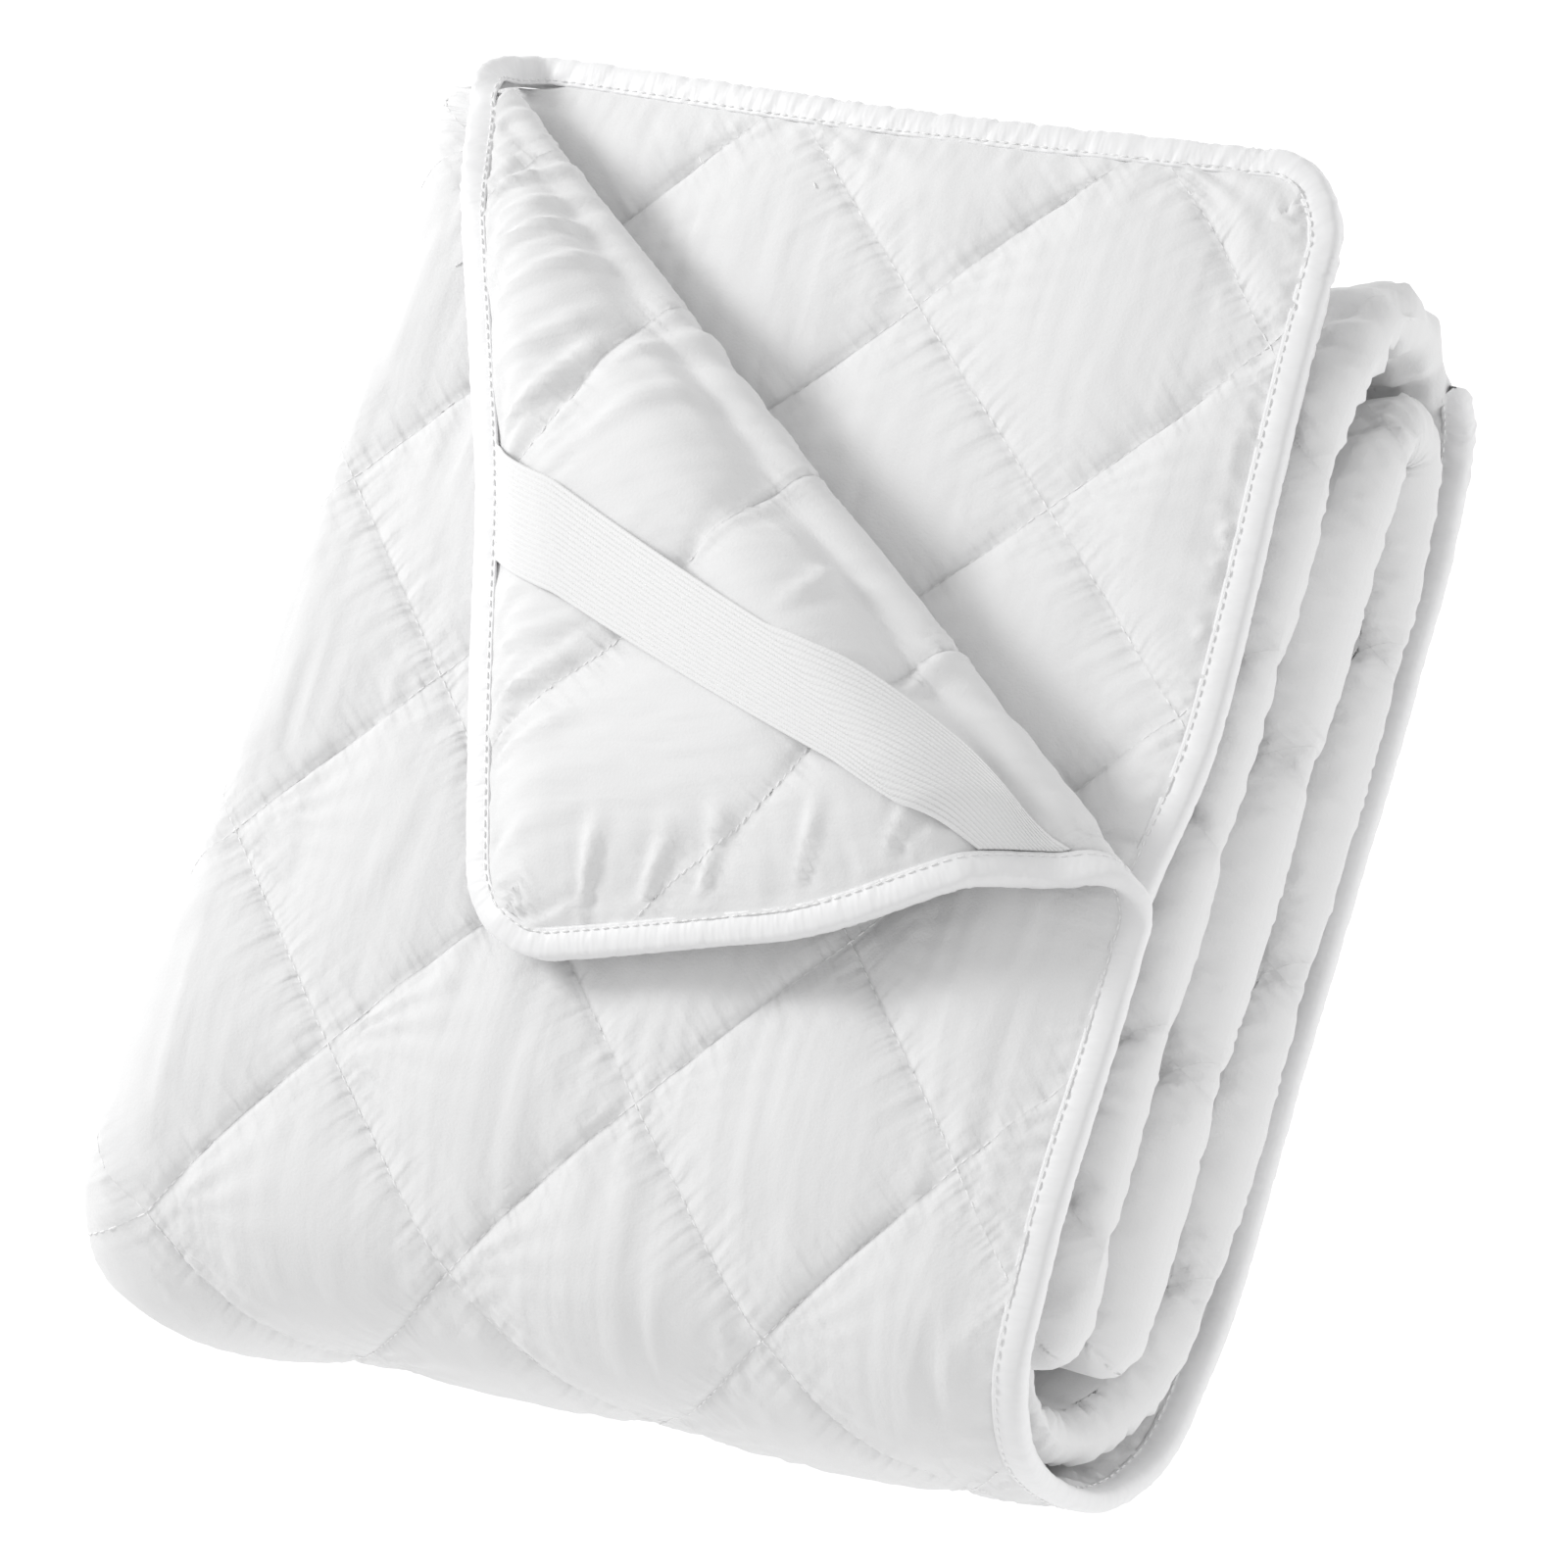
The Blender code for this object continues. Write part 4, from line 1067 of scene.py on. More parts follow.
    def side_folds(self, u: Array, v: Array, face: Array, to_side: Array) -> Array:
        """Pleats in the arches and the inner roll, and creases across the open side.

        Args:
            u: Distances across the flat pad.
            v: Distances along the strip.
            face: Which face.
            to_side: Distances to the raw edge at the side.

        Returns:
            Their height.
        """
        sizes, strip = self.puckers, self.strip
        on_outer = u > strip.inner_start
        height = np.zeros_like(u)
        for name, share in (("upper arch", 0.5), ("lower turn", 0.5)):
            near = np.exp(-((v - strip.at(name, share)) / sizes.pleat_length) ** 4)
            inward = (face < 0.0) | (~on_outer if name == "lower turn" else False)
            lean = sizes.pleat_lean * (to_side - sizes.pleat_lean_from)
            folds = soft_noise((v + lean) / sizes.pleat_pitch * 2.0, to_side / sizes.pleat_cell, Pattern.ARCH_FOLDS)
            height += (np.where(inward, 1.0, sizes.pleat_outside) * near * sizes.pleat_height * ridges(folds)
                       * smooth(1.0 - to_side / sizes.pleat_width))
        for at, width, depth, reach in ARCH_PLEATS:
            off = (v + sizes.arch_lean * to_side - strip.at("upper arch", 0.5) - at) / width
            trough = (TROUGH * off ** 2 - 1.0) * np.exp(-off ** 2)
            height += np.where(on_outer, depth * trough * smooth(FADE_END - to_side / reach), 0.0)
        bare = ~on_outer | (v > strip.outer_bound)
        outside, inside, second = sizes.flank_shifts
        shift = np.where(face > 0.0, outside, inside) + np.where(on_outer, 0.0, second)
        lean = sizes.flank_lean * to_side * soft_noise(v / sizes.flank_lean_cell, shift, Pattern.FLANK_LEAN)
        folds = soft_noise((v + lean) / sizes.flank_pitch * 2.0 + shift, to_side / sizes.flank_cell + shift,
                           Pattern.FLANK_FOLDS)
        height += np.where(bare, sizes.flank_height * ridges(folds) * smooth(1.0 - to_side / sizes.flank_width), 0.0)
        for distance in self.line_distances(u, v):
            groove = np.exp(-(distance * self.across_line / sizes.cross_width) ** 2)
            fade = smooth(FADE_END - to_side / sizes.cross_reach)
            height -= np.where(bare, sizes.cross_depth * groove * fade, 0.0)
        return height

    def surface(self, u: Array, v: Array, face: Array) -> Array:
        """Points of the pad's skin.

        Args:
            u: Distances across the flat pad.
            v: Distances along the strip.
            face: 1 on the outer face, -1 on the inner one, between them on the rim.

        Returns:
            The points, along the last axis.
        """
        half = self.thickness(u, v) / 2.0
        height = half + self.relief(u, v, face) * smooth(half / self.seam)
        height = np.maximum(height, self.least_half)
        pressed = np.where(face < 0.0, self.flap_share(u, v) * self.band.covers(u, v), 0.0)
        height = mix(height, np.minimum(height, self.band.rests_on(u, v)), pressed)
        return self.place(u, v) + self.normals(u, v) * (height * face)[..., None]

    def seen(self, u: Array, v: Array, face: Array, margin: float) -> Array:
        """Whether the skin shows from outside.

        Args:
            u: Distances across the flat pad.
            v: Distances along the strip.
            face: Which face.
            margin: How far past the seen part to go.

        Returns:
            True where it shows.
        """
        strip = self.strip
        on_outer = u > strip.inner_start
        x = np.where(u > strip.fold_side, u, strip.mirrored(u))
        beyond = strip.corner.beyond(x, strip.top_y - v)
        on_front = v < strip.at("into turn") + margin
        depth = np.maximum(-beyond, 0.0) * (1.0 + 1.0 / strip.corner.share)
        over_x, over_v = x + strip.corner.across[0] * depth, v - strip.corner.across[1] * depth
        covered = (beyond < -self.near_roll) & (over_x < strip.outer_side - self.cover_margin) & (
            over_v > self.cover_margin)
        front = on_outer & (face > 0.0) & (v < strip.at("out of turn") + margin) & ~covered & (
            (beyond < self.near_roll + margin) | ~on_front)
        flap = on_outer & (face < 0.0) & on_front & (beyond > -margin)
        second = ~on_outer & (face < 0.0) & on_front & (beyond > -self.second_margin - margin)
        return front | flap | second

    def finer(self, thing: bpy.types.Object, margin: float, flank: float, arch: bool) -> None:
        """Divide the faces that show into four.

        Args:
            thing: The flat pad, in U, V and face.
            margin: How far past the seen part to go.
            flank: Width of the divided band at the open side.
            arch: Whether the arch and the folds at the back are divided too.
        """
        mesh = thing.data
        centres = np.empty(len(mesh.polygons) * 3)
        mesh.polygons.foreach_get("center", centres)
        u, v, height = centres.reshape(-1, 3).T
        face = np.where(height > -self.wall / 2.0, 1.0, -1.0)
        chosen = self.seen(u, v, face, margin)
        to_side, _, _ = self.edge_distances(u, v)
        chosen |= to_side < flank
        if arch:
            strip = self.strip
            chosen |= (face > 0.0) & (u > strip.fold_side) & (v > strip.at("upper back")) & (
                v < strip.at("inside high"))
            chosen |= (face > 0.0) & (np.abs(u - strip.fold_side + strip.fold_arc / 2.0) < strip.fold_arc) & (
                v < strip.at("back"))
        mesh.polygons.foreach_set("select", chosen)
        mesh.update()
        bpy.ops.object.mode_set(mode="EDIT")
        bpy.ops.mesh.select_mode(type="FACE")
        bpy.ops.mesh.subdivide(number_cuts=1, smoothness=0.0, ngon=True)
        bpy.ops.object.mode_set(mode="OBJECT")

    def flat_skin(self) -> bpy.types.Object:
        """Closed flat mesh of the pad, finer where the skin shows, with U, V and face for X, Y and Z.

        Returns:
            The new object.
        """
        columns, rows = self.columns(), self.rows()
        thing = new_grid("quilted_pad_cloth", len(columns), len(rows))
        column, row = grid_order(thing, len(columns), len(rows))
        set_points(thing, np.stack([columns[column], rows[row], np.zeros(len(row))], axis=-1))
        solid = thing.modifiers.new("thickness", "SOLIDIFY")
        solid.thickness = self.wall
        solid.offset = 0.0
        bpy.ops.object.modifier_apply(modifier=solid.name)
        points = mesh_points(thing)
        points[:, 2] = np.where(points[:, 2] > 0.0, 0.0, -self.wall)
        set_points(thing, points)
        bpy.ops.object.mode_set(mode="EDIT")
        bpy.ops.mesh.select_all(action="DESELECT")
        bpy.ops.object.mode_set(mode="OBJECT")
        self.finer(thing, self.finer_margin, self.flank_width, True)
        self.finer(thing, 0.0, self.flank_width * self.finest_share, False)
        return thing

    def split_faces(self, flat: Array, mesh: bpy.types.Mesh) -> List[List[int]]:
        """Faces of the skin, with the four-sided ones split along the quilting.

        Args:
            flat: U and V of each vertex.
            mesh: The mesh to read.

        Returns:
            Vertex numbers of each face.
        """
        a, b = self.families(flat[:, 0], flat[:, 1])
        sizes = np.empty(len(mesh.polygons), dtype=int)
        mesh.polygons.foreach_get("loop_total", sizes)
        starts = np.empty(len(mesh.polygons), dtype=int)
        mesh.polygons.foreach_get("loop_start", starts)
        corners = np.empty(len(mesh.loops), dtype=int)
        mesh.loops.foreach_get("vertex_index", corners)
        quads = corners[starts[sizes == 4][:, None] + np.arange(4)]
        middle_a, middle_b = a[quads].mean(axis=1), b[quads].mean(axis=1)
        nearer = np.abs(off_line(middle_a)) < np.abs(off_line(middle_b))
        number = np.where(nearer[:, None], a[quads], b[quads])
        first = np.abs(number[:, 2] - number[:, 0]) <= np.abs(number[:, 3] - number[:, 1])
        split_first = np.concatenate([quads[first][:, [0, 1, 2]], quads[first][:, [0, 2, 3]]])
        split_other = np.concatenate([quads[~first][:, [0, 1, 3]], quads[~first][:, [1, 2, 3]]])
        others = [corners[start:start + size].tolist() for start, size in zip(starts, sizes) if size != 4]
        return split_first.tolist() + split_other.tolist() + others

    def build(self, material: bpy.types.Material) -> bpy.types.Object:
        """Model the pad.

        Args:
            material: Its finish.

        Returns:
            The pad, as one closed mesh.
        """
        thing = self.flat_skin()
        flat = mesh_points(thing)
        u, v, face = flat[:, 0], flat[:, 1], 1.0 + 2.0 * flat[:, 2] / self.wall
        points = self.surface(u, v, face)
        points[:, 2] = np.where(points[:, 2] < self.floor_press, 0.0, points[:, 2])
        mesh = bpy.data.meshes.new("quilted_pad_cloth")
        mesh.from_pydata(points.tolist(), [], self.split_faces(flat, thing.data))
        mesh.uv_layers.new(name="quilting")
        thing.data = mesh
        set_uv(thing, np.stack(self.lattice(u, v), axis=-1))
        crossed = mesh.attributes.new("crossed", "FLOAT", "POINT")
        crossed.data.foreach_set("value", (1.0 - self.flap_share(u, v)).astype(np.float32))
        face_outwards(thing)
        return finished(thing, material)


# --- Edge binding --------------------------------------------------------------------------------
Placer = Callable[[Array, float], Array]


@dataclass
class BoundEdge:
    """The pad's raw edge, from the back round the front to the second layer."""

    strip: FoldedStrip
    step: float = 0.0016
    corner_step: float = math.pi / 50.0
    ease_reach: float = 0.045
    ease_rounds: int = 90
    ease_steepness: float = 1.5
    probe: float = 0.002

    def runs(self) -> List[Tuple[Placer, float, float, float]]:
        """Stretches of the edge: a place for a parameter and a distance outwards, and its range.

        Returns:
            For each stretch its place, the first and last value of its parameter, and the step.
        """
        strip = self.strip
        radius = strip.corner_radius

        def on_side(cloth: Cloth) -> Placer:
            """Stretch along a layer's side."""
            return lambda v, d: strip.place(cloth, strip.side(cloth) + d, v)

        def on_corner(cloth: Cloth) -> Placer:
            """Stretch round a layer's corner."""
            centre = strip.side(cloth) - radius
            return lambda a, d: strip.place(cloth, centre + (radius + d) * np.cos(a),
                                            radius - (radius + d) * np.sin(a))

        def on_top(cloth: Cloth) -> Placer:
            """Stretch along a layer's top."""
            return lambda x, d: strip.place(cloth, x, np.full(np.shape(x), -d))

        def on_fold_end(angle: Array, d: float) -> Array:
            """Points round the top end of the fold."""
            return strip.place_on_fold(angle, np.full(np.shape(angle), -d))

        quarter = math.pi / 2.0
        return [
            (on_side(Cloth.OUTER), strip.outer_bound, radius, self.step),
            (on_corner(Cloth.OUTER), 0.0, quarter, self.corner_step),
            (on_top(Cloth.OUTER), strip.outer_side - radius, strip.fold_side, self.step),
            (on_fold_end, 0.0, math.pi, self.corner_step * 4.0),
            (on_top(Cloth.INNER), strip.fold_side, strip.inner_side - radius, self.step),
            (on_corner(Cloth.INNER), quarter, 0.0, self.corner_step),
            (on_side(Cloth.INNER), radius, strip.inner_bound, self.step),
        ]

    def line(self) -> Tuple[Array, Array]:
        """Points of the edge and the directions outwards from it.

        Returns:
            The points and the directions.
        """
        points, outwards, probe = [], [], self.probe
        for place, low, high, step in self.runs():
            values = spaced(low, high, step)[:-1]
            points.append(place(values, 0.0))
            outwards.append(place(values, probe) - place(values, -probe))
        place, _, last, _ = self.runs()[-1]
        points.append(place(np.array([last]), 0.0))
        outwards.append(place(np.array([last]), probe) - place(np.array([last]), -probe))
        fold_end = sum(len(part) for part in points[:3]) + len(points[3]) // 2
        return self.eased(np.concatenate(points), unit(np.concatenate(outwards)), fold_end)

    def eased(self, points: Array, outwards: Array, middle: int) -> Tuple[Array, Array]:
        """Round the edge's kinks at the fold, where the roll begins.

        Args:
            points: Points of the edge.
            outwards: Directions outwards from it.
            middle: Number of the point at the fold.

        Returns:
            The same, eased.
        """
        steps = np.linalg.norm(np.diff(points, axis=0), axis=1)
        distance = np.concatenate([[0.0], np.cumsum(steps)])
        window = smooth((self.ease_reach - np.abs(distance - distance[middle])) / self.ease_reach
                        * self.ease_steepness)
        for _ in range(self.ease_rounds):
            for values in (points, outwards):
                values[1:-1] += window[1:-1, None] * ((values[:-2] + values[2:]) / 2.0 - values[1:-1])
        return points, unit(outwards)


@dataclass
class EdgeBinding:
    """The tape folded over the raw edge and sewn on."""

    edge: BoundEdge
    offset: Array
    width: float = 0.0098
    thickness: float = 0.0086
    plain_gap: float = 0.0005
    lap: float = 0.0024
    tape: float = 0.0008
    squareness: float = 0.62
    stitch_row: float = -0.0006
    groove: float = 0.00022
    groove_width: float = 0.0010
    pucker_height: float = 0.00050
    calm_share: float = 0.35
    pucker_pitch: float = 0.0068
    end_taper: float = 0.014
    end_size: float = 0.12
    half_sides: int = 9
    lap_shares: Tuple[float, ...] = (0.30, 0.55, 0.72, 0.84, 1.0)
    nose_share: float = 0.62
    lip: float = 0.0003
    lining_drops: Tuple[float, ...] = (0.0003, 0.0002, 0.0, 0.0015)
    pucker_cell: float = 0.05
    pucker_level: float = 0.4
    pucker_gain: float = 2.0
    level_scale: Tuple[float, float] = (1.1, 0.8)
    top_reach: float = 0.10
    top_ease: float = 0.04
    sway: float = 0.0003
    sway_cell: float = 0.035
    nose_from: float = 0.6

    def frame_of_edge(self) -> Tuple[Array, Array, Array, Array]:
        """Points along the edge, the directions outwards and across it, and the distances.

        Returns:
            The points, the two directions and the distances.
        """
        points, outwards = self.edge.line()
        points = points - self.offset
        forward = unit(np.gradient(points, axis=0))
        face = unit(np.cross(outwards, forward))
        outward = unit(np.cross(forward, face))
        steps = np.linalg.norm(np.diff(points, axis=0), axis=1)
        return points, outward, face, np.concatenate([[0.0], np.cumsum(steps)])

    def section(self) -> Tuple[Array, Array]:
        """Outwards and upwards distances of the tape's section, round the outside and back inside.

        Returns:
            The outwards distances and the upwards ones.
        """
        turn = np.linspace(math.pi / 2.0, -math.pi / 2.0, self.half_sides)
        nose = self.width * self.nose_share
        out = self.width - nose + nose * np.abs(np.cos(turn)) ** self.squareness
        up = self.thickness / 2.0 * np.sign(np.sin(turn)) * np.abs(np.sin(turn)) ** self.squareness
        laps = mix(self.width - nose, -self.lap, np.array(self.lap_shares))
        lip = self.thickness / 2.0 - self.lip
        lap_up = mix(self.thickness / 2.0, lip, np.array(self.lap_shares))
        outer_out = np.concatenate([laps[::-1], out, laps])
        outer_up = np.concatenate([lap_up[::-1], up, -lap_up])
        inner_out = np.array([-self.lap, 0.0, self.width - nose, self.width - 2.0 * self.tape])
        inner_up = self.thickness / 2.0 - self.tape - np.array(self.lining_drops)
        return (np.concatenate([outer_out, inner_out, inner_out[::-1]]),
                np.concatenate([outer_up, -inner_up, inner_up[::-1]]))

    def build(self, material: bpy.types.Material) -> bpy.types.Object:
        """Model the binding as a folded tape.

        Args:
            material: Its finish.

        Returns:
            The binding, as one closed mesh.
        """
        points, outward, face, distance = self.frame_of_edge()
        out, up = self.section()
        outside = np.arange(len(out)) < self.half_sides + 2 * len(self.lap_shares)
        level = np.sign(up) * (1.0 + out / self.width)
        folds = soft_noise(distance[:, None] / self.pucker_pitch * 2.0 + level[None] * self.level_scale[0],
                           level[None] * self.level_scale[1] + distance[:, None] / self.pucker_cell,
                           Pattern.TAPE_PUCKERS)
        top = smooth((points[:, 1] - points[:, 1].max() + self.top_reach) / self.top_ease)
        strength = mix(self.calm_share, 1.0, top)[:, None]
        rise = strength * self.pucker_height * ridges(folds, self.pucker_level, self.pucker_gain) * outside
        groove = self.groove * np.exp(-((out - self.stitch_row) / self.groove_width) ** 2) * outside
        sway = self.sway * soft_noise(distance / self.sway_cell, distance * 0.0, Pattern.TAPE_SWAY)
        ups = up[None] + np.sign(up)[None] * (rise - groove[None])
        outs = out[None] + sway[:, None] + rise * (out > self.width * self.nose_from)
        to_end = np.minimum(distance, distance[-1] - distance) / self.end_taper
        size = mix(self.end_size, 1.0, np.sqrt(1.0 - (1.0 - np.clip(to_end, 0.0, 1.0)) ** 2))[:, None]
        outs, ups = mix(self.width / 3.0, outs, size), ups * size
        rings = points[:, None] + outward[:, None] * outs[..., None] + face[:, None] * ups[..., None]
        rings[..., 2] = np.maximum(rings[..., 2], 0.0)
        thing = loft("edge_binding_tape", rings)
        around = np.concatenate([[0.0], np.cumsum(np.hypot(np.diff(out), np.diff(up)))])
        flat = np.stack(np.broadcast_arrays(distance[:, None], around[None]), axis=-1)
        set_uv(thing, flat.reshape(-1, 2))
        return finished(thing, material)


def loft(name: str, rings: Array) -> bpy.types.Object:
    """Closed tube through rings of points, made straight from them.

    Args:
        name: Name of the object.
        rings: Points, ring by ring.

    Returns:
        The new object, with its ends closed.
    """
    count, sides = rings.shape[:2]
    index = np.arange(count * sides).reshape(count, sides)
    nxt = np.roll(index, -1, axis=1)
    quads = np.stack([index[:-1], nxt[:-1], nxt[1:], index[1:]], axis=-1).reshape(-1, 4).tolist()
    mesh = bpy.data.meshes.new(name)
    mesh.from_pydata(rings.reshape(-1, 3).tolist(), [], quads + [index[0][::-1].tolist(), index[-1].tolist()])
    thing = bpy.data.objects.new(name, mesh)
    bpy.context.collection.objects.link(thing)
    face_outwards(thing)
    return thing


# --- Corner elastic ------------------------------------------------------------------------------
@dataclass
class CornerElastic:
    """The wide ribbed band across the turned corner."""

    strip: FoldedStrip
    offset: Array
    width: Tuple[float, float] = (0.041, 0.022)
    flat_width: float = 0.036
    thickness: float = 0.002
    on_top_edge: float = 0.0075
    on_side_edge: float = 0.2545
    inset: float = 0.0027
    height: Tuple[float, float] = (0.0037, 0.0138)
    end_share: float = 0.5
    end_ease: float = 0.007
    press_ease: float = 0.014
    ease: float = 0.022
    ribs: int = 19
    rib_points: int = 6
    rows: int = 90
    rib_power: float = 0.6
    rib_body: Tuple[float, float] = (0.16, 0.47)
    flat_length: float = 0.32

    def line(self) -> Tuple[Array, Array]:
        """Where the band's middle meets the top edge and the side edge, on the flat pad."""
        return np.array([self.on_top_edge, 0.0]), np.array([self.strip.outer_side, self.on_side_edge])

    def covers(self, u: Array, v: Array) -> Array:
        """1 under the band, fading to 0 beside it.

        Args:
            u: Distances across the flat pad.
            v: Distances along the strip.

        Returns:
            One value for each point.
        """
        start, end = self.line()
        line = end - start
        length = float(np.hypot(*line))
        along = ((u - start[0]) * line[0] + (v - start[1]) * line[1]) / length ** 2
        across = ((v - start[1]) * line[0] - (u - start[0]) * line[1]) / length
        half = mix(*self.width, np.clip(along, 0.0, 1.0)) / 2.0
        return smooth(1.0 - (np.abs(across) - half) / self.press_ease)

    def lift(self, u: Array, v: Array) -> Array:
        """Height of the band's middle above the pad's."""
        to_edge = np.minimum(v, self.strip.outer_side - u)
        return mix(*self.height, smooth(to_edge / self.ease))

    def rests_on(self, u: Array, v: Array) -> Array:
        """Height above the pad's middle to which the band presses the cloth."""
        return self.lift(u, v) - self.thickness

    def build(self, material: bpy.types.Material) -> bpy.types.Object:
        """Model the band with its ribs.

        Args:
            material: Its finish.

        Returns:
            The band, as one closed mesh.
        """
        columns = self.ribs * self.rib_points + 1
        thing = new_grid("corner_elastic_band", columns, self.rows)
        column, row = grid_order(thing, columns, self.rows)
        count = len(thing.data.vertices)
        solid = thing.modifiers.new("thickness", "SOLIDIFY")
        solid.thickness = self.thickness
        solid.offset = -1.0
        bpy.ops.object.modifier_apply(modifier=solid.name)
        start, end = self.line()
        along = unit(end - start)
        across = np.array([-along[1], along[0]])
        shift = np.linspace(-0.5, 0.5, columns)[:, None] * across
        first = start + shift * self.width[0]
        first = first - along * ((first[:, 1:] - self.inset) / along[1])
        last = end + shift * self.width[1]
        last = last + along * ((self.strip.outer_side - self.inset - last[:, :1]) / along[0])
        share = np.linspace(0.0, 1.0, self.rows)[:, None, None]
        spots = mix(first[None], last[None], share)
        middle = self.strip.place(Cloth.OUTER, spots[..., 0], spots[..., 1]) - self.offset
        normals = -surface_normals(middle)
        lift = self.lift(spots[..., 0], spots[..., 1])
        rib = np.abs(np.sin(np.arange(columns) / self.rib_points * math.pi)) ** self.rib_power
        to_edge = np.minimum(spots[..., 1], self.strip.outer_side - spots[..., 0]) - self.inset
        thin = mix(self.end_share, 1.0, smooth(to_edge / self.end_ease))
        half = self.thickness * ((self.rib_body[0] + self.rib_body[1] * rib)[None, :] * thin)[..., None]
        if np.mean(normals[..., 2]) < 0.0:
            normals = -normals
        centre = middle + normals * lift[..., None]
        points = np.concatenate([(centre + normals * half)[row, column], (centre - normals * half)[row, column]])
        set_points(thing, points[:2 * count])
        flat = np.stack(np.broadcast_arrays(np.linspace(0.0, self.flat_width, columns)[None, :],
                                            np.linspace(0.0, self.flat_length, self.rows)[:, None]), axis=-1)
        set_uv(thing, np.tile(flat[row, column], (2, 1)))
        return finished(thing, material)


# --- Stitching -----------------------------------------------------------------------------------
@dataclass
class Stitching:
    """Threads of the quilting lines and of the binding."""

    pad: QuiltedPad
    tape: EdgeBinding
    length: float = 0.0036
    pitch: float = 0.0052
    tape_length: float = 0.0032
    tape_pitch: float = 0.0044
    thick: float = 0.00042
    proud: float = 0.00022
    segments: int = 6
    rings: int = 4
    edge_margin: float = 0.005
    fold_share: float = 2.2
    lines: Tuple[int, int] = (-8, 10)
    line_probe: float = 0.0005
    line_rounds: int = 3

    def threads(self, name: str, starts: Array, ends: Array, ups: Array,
                material: bpy.types.Material) -> bpy.types.Object:
        """One mesh of many stitches.

        Args:
            name: Name of the piece.
            starts: Where each stitch starts.
            ends: Where each stitch ends.
            ups: The direction out of the cloth at each.
            material: Their finish.

        Returns:
            The piece.
        """
        deselect()
        bpy.ops.mesh.primitive_uv_sphere_add(segments=self.segments, ring_count=self.rings, radius=1.0,
                                             location=(0.0, 0.0, 0.0))
        thing = bpy.context.object
        thing.name = name
        one = np.array([tuple(vertex.co) for vertex in thing.data.vertices])
        faces = [list(polygon.vertices) for polygon in thing.data.polygons]
        along = (ends - starts) / 2.0
        side = unit(np.cross(ups, along)) * self.thick
        height = unit(np.cross(along, side)) * self.thick
        points = ((starts + ends)[:, None] / 2.0 + one[None, :, 2:] * along[:, None]
                  + one[None, :, :1] * height[:, None] + one[None, :, 1:2] * side[:, None])
        count = len(one)
        everything = [[corner + count * number for corner in face]
                      for number in range(len(starts)) for face in faces]
        mesh = bpy.data.meshes.new(name)
        mesh.from_pydata(points.reshape(-1, 3).tolist(), [], everything)
        thing.data = mesh
        face_outwards(thing)
        return finished(thing, material)

    def quilting(self, material: bpy.types.Material) -> bpy.types.Object:
        """Stitches of the quilting lines that show.

        Args:
            material: Their finish.

        Returns:
            The piece.
        """
        pad, strip = self.pad, self.pad.strip
        half_length = pad.half_length
        step = self.pitch / math.hypot(pad.half_width, half_length)
        half = self.length / self.pitch / 2.0 * step
        spots: List[Tuple[float, float, float, float, float]] = []
        last = int(strip.at("out of turn") / half_length) + 1
        for cloth, node, shift, half_width in (
                (Cloth.OUTER, pad.outer_node_x, 0.0, pad.half_width),
                (Cloth.INNER, pad.inner_node_x, pad.inner_row_shift, pad.inner_half_width)):
            for slope in (1.0, -1.0):
                for line in range(*self.lines):
                    for j in np.arange(-0.5 + shift, last, step):
                        i = 2.0 * line - slope * j
                        x = node + i * half_width
                        v = pad.first_crossing + (j - shift) * half_length
                        if strip.fold_side - strip.fold_arc / self.fold_share < x < strip.side(cloth) and v > 0.0:
                            u = x if cloth is Cloth.OUTER else strip.mirrored(x)
                            if cloth is Cloth.INNER and x < strip.fold_side:
                                continue
                            turn = 1.0 if cloth is Cloth.OUTER else -1.0
                            spots.append((u, v, -slope * turn * half * half_width, half * half_length, slope))
        flat = np.array(spots)
        starts, ends, ups = [], [], []
        for face in (Face.OUT, Face.IN):
            u, v, du, dv, slope = flat.T
            level = np.full(len(u), face.value)
            u = self.onto_line(u, v, slope)
            to_side, to_end, _ = pad.edge_distances(u, v)
            keep = pad.seen(u, v, level, 0.0) & (np.minimum(to_side, to_end) > self.edge_margin)
            keep &= (slope > 0.0) | (pad.flap_share(u, v) < 0.5)
            u, v, du, dv, level = u[keep], v[keep], du[keep], dv[keep], level[keep]
            out = pad.normals(u, v) * level[:, None]
            starts.append(pad.surface(u - du, v - dv, level) + out * self.proud)
            ends.append(pad.surface(u + du, v + dv, level) + out * self.proud)
            ups.append(out)
        return self.threads("quilting_stitches", np.concatenate(starts), np.concatenate(ends),
                            np.concatenate(ups), material)

    def onto_line(self, u: Array, v: Array, slope: Array) -> Array:
        """Move stitches across the cloth onto the quilting line that they belong to.

        Args:
            u: Distances across the flat pad.
            v: Distances along the strip.
            slope: 1 for the first family of lines and -1 for the second.

        Returns:
            The moved distances across.
        """
        pad, probe = self.pad, self.line_probe
        for _ in range(self.line_rounds):
            number = np.where(slope > 0.0, *pad.families(u, v))
            ahead = np.where(slope > 0.0, *pad.families(u + probe, v))
            u = u - off_line(number) * probe / np.where(np.abs(ahead - number) > 1e-5, ahead - number, 1.0)
        return u

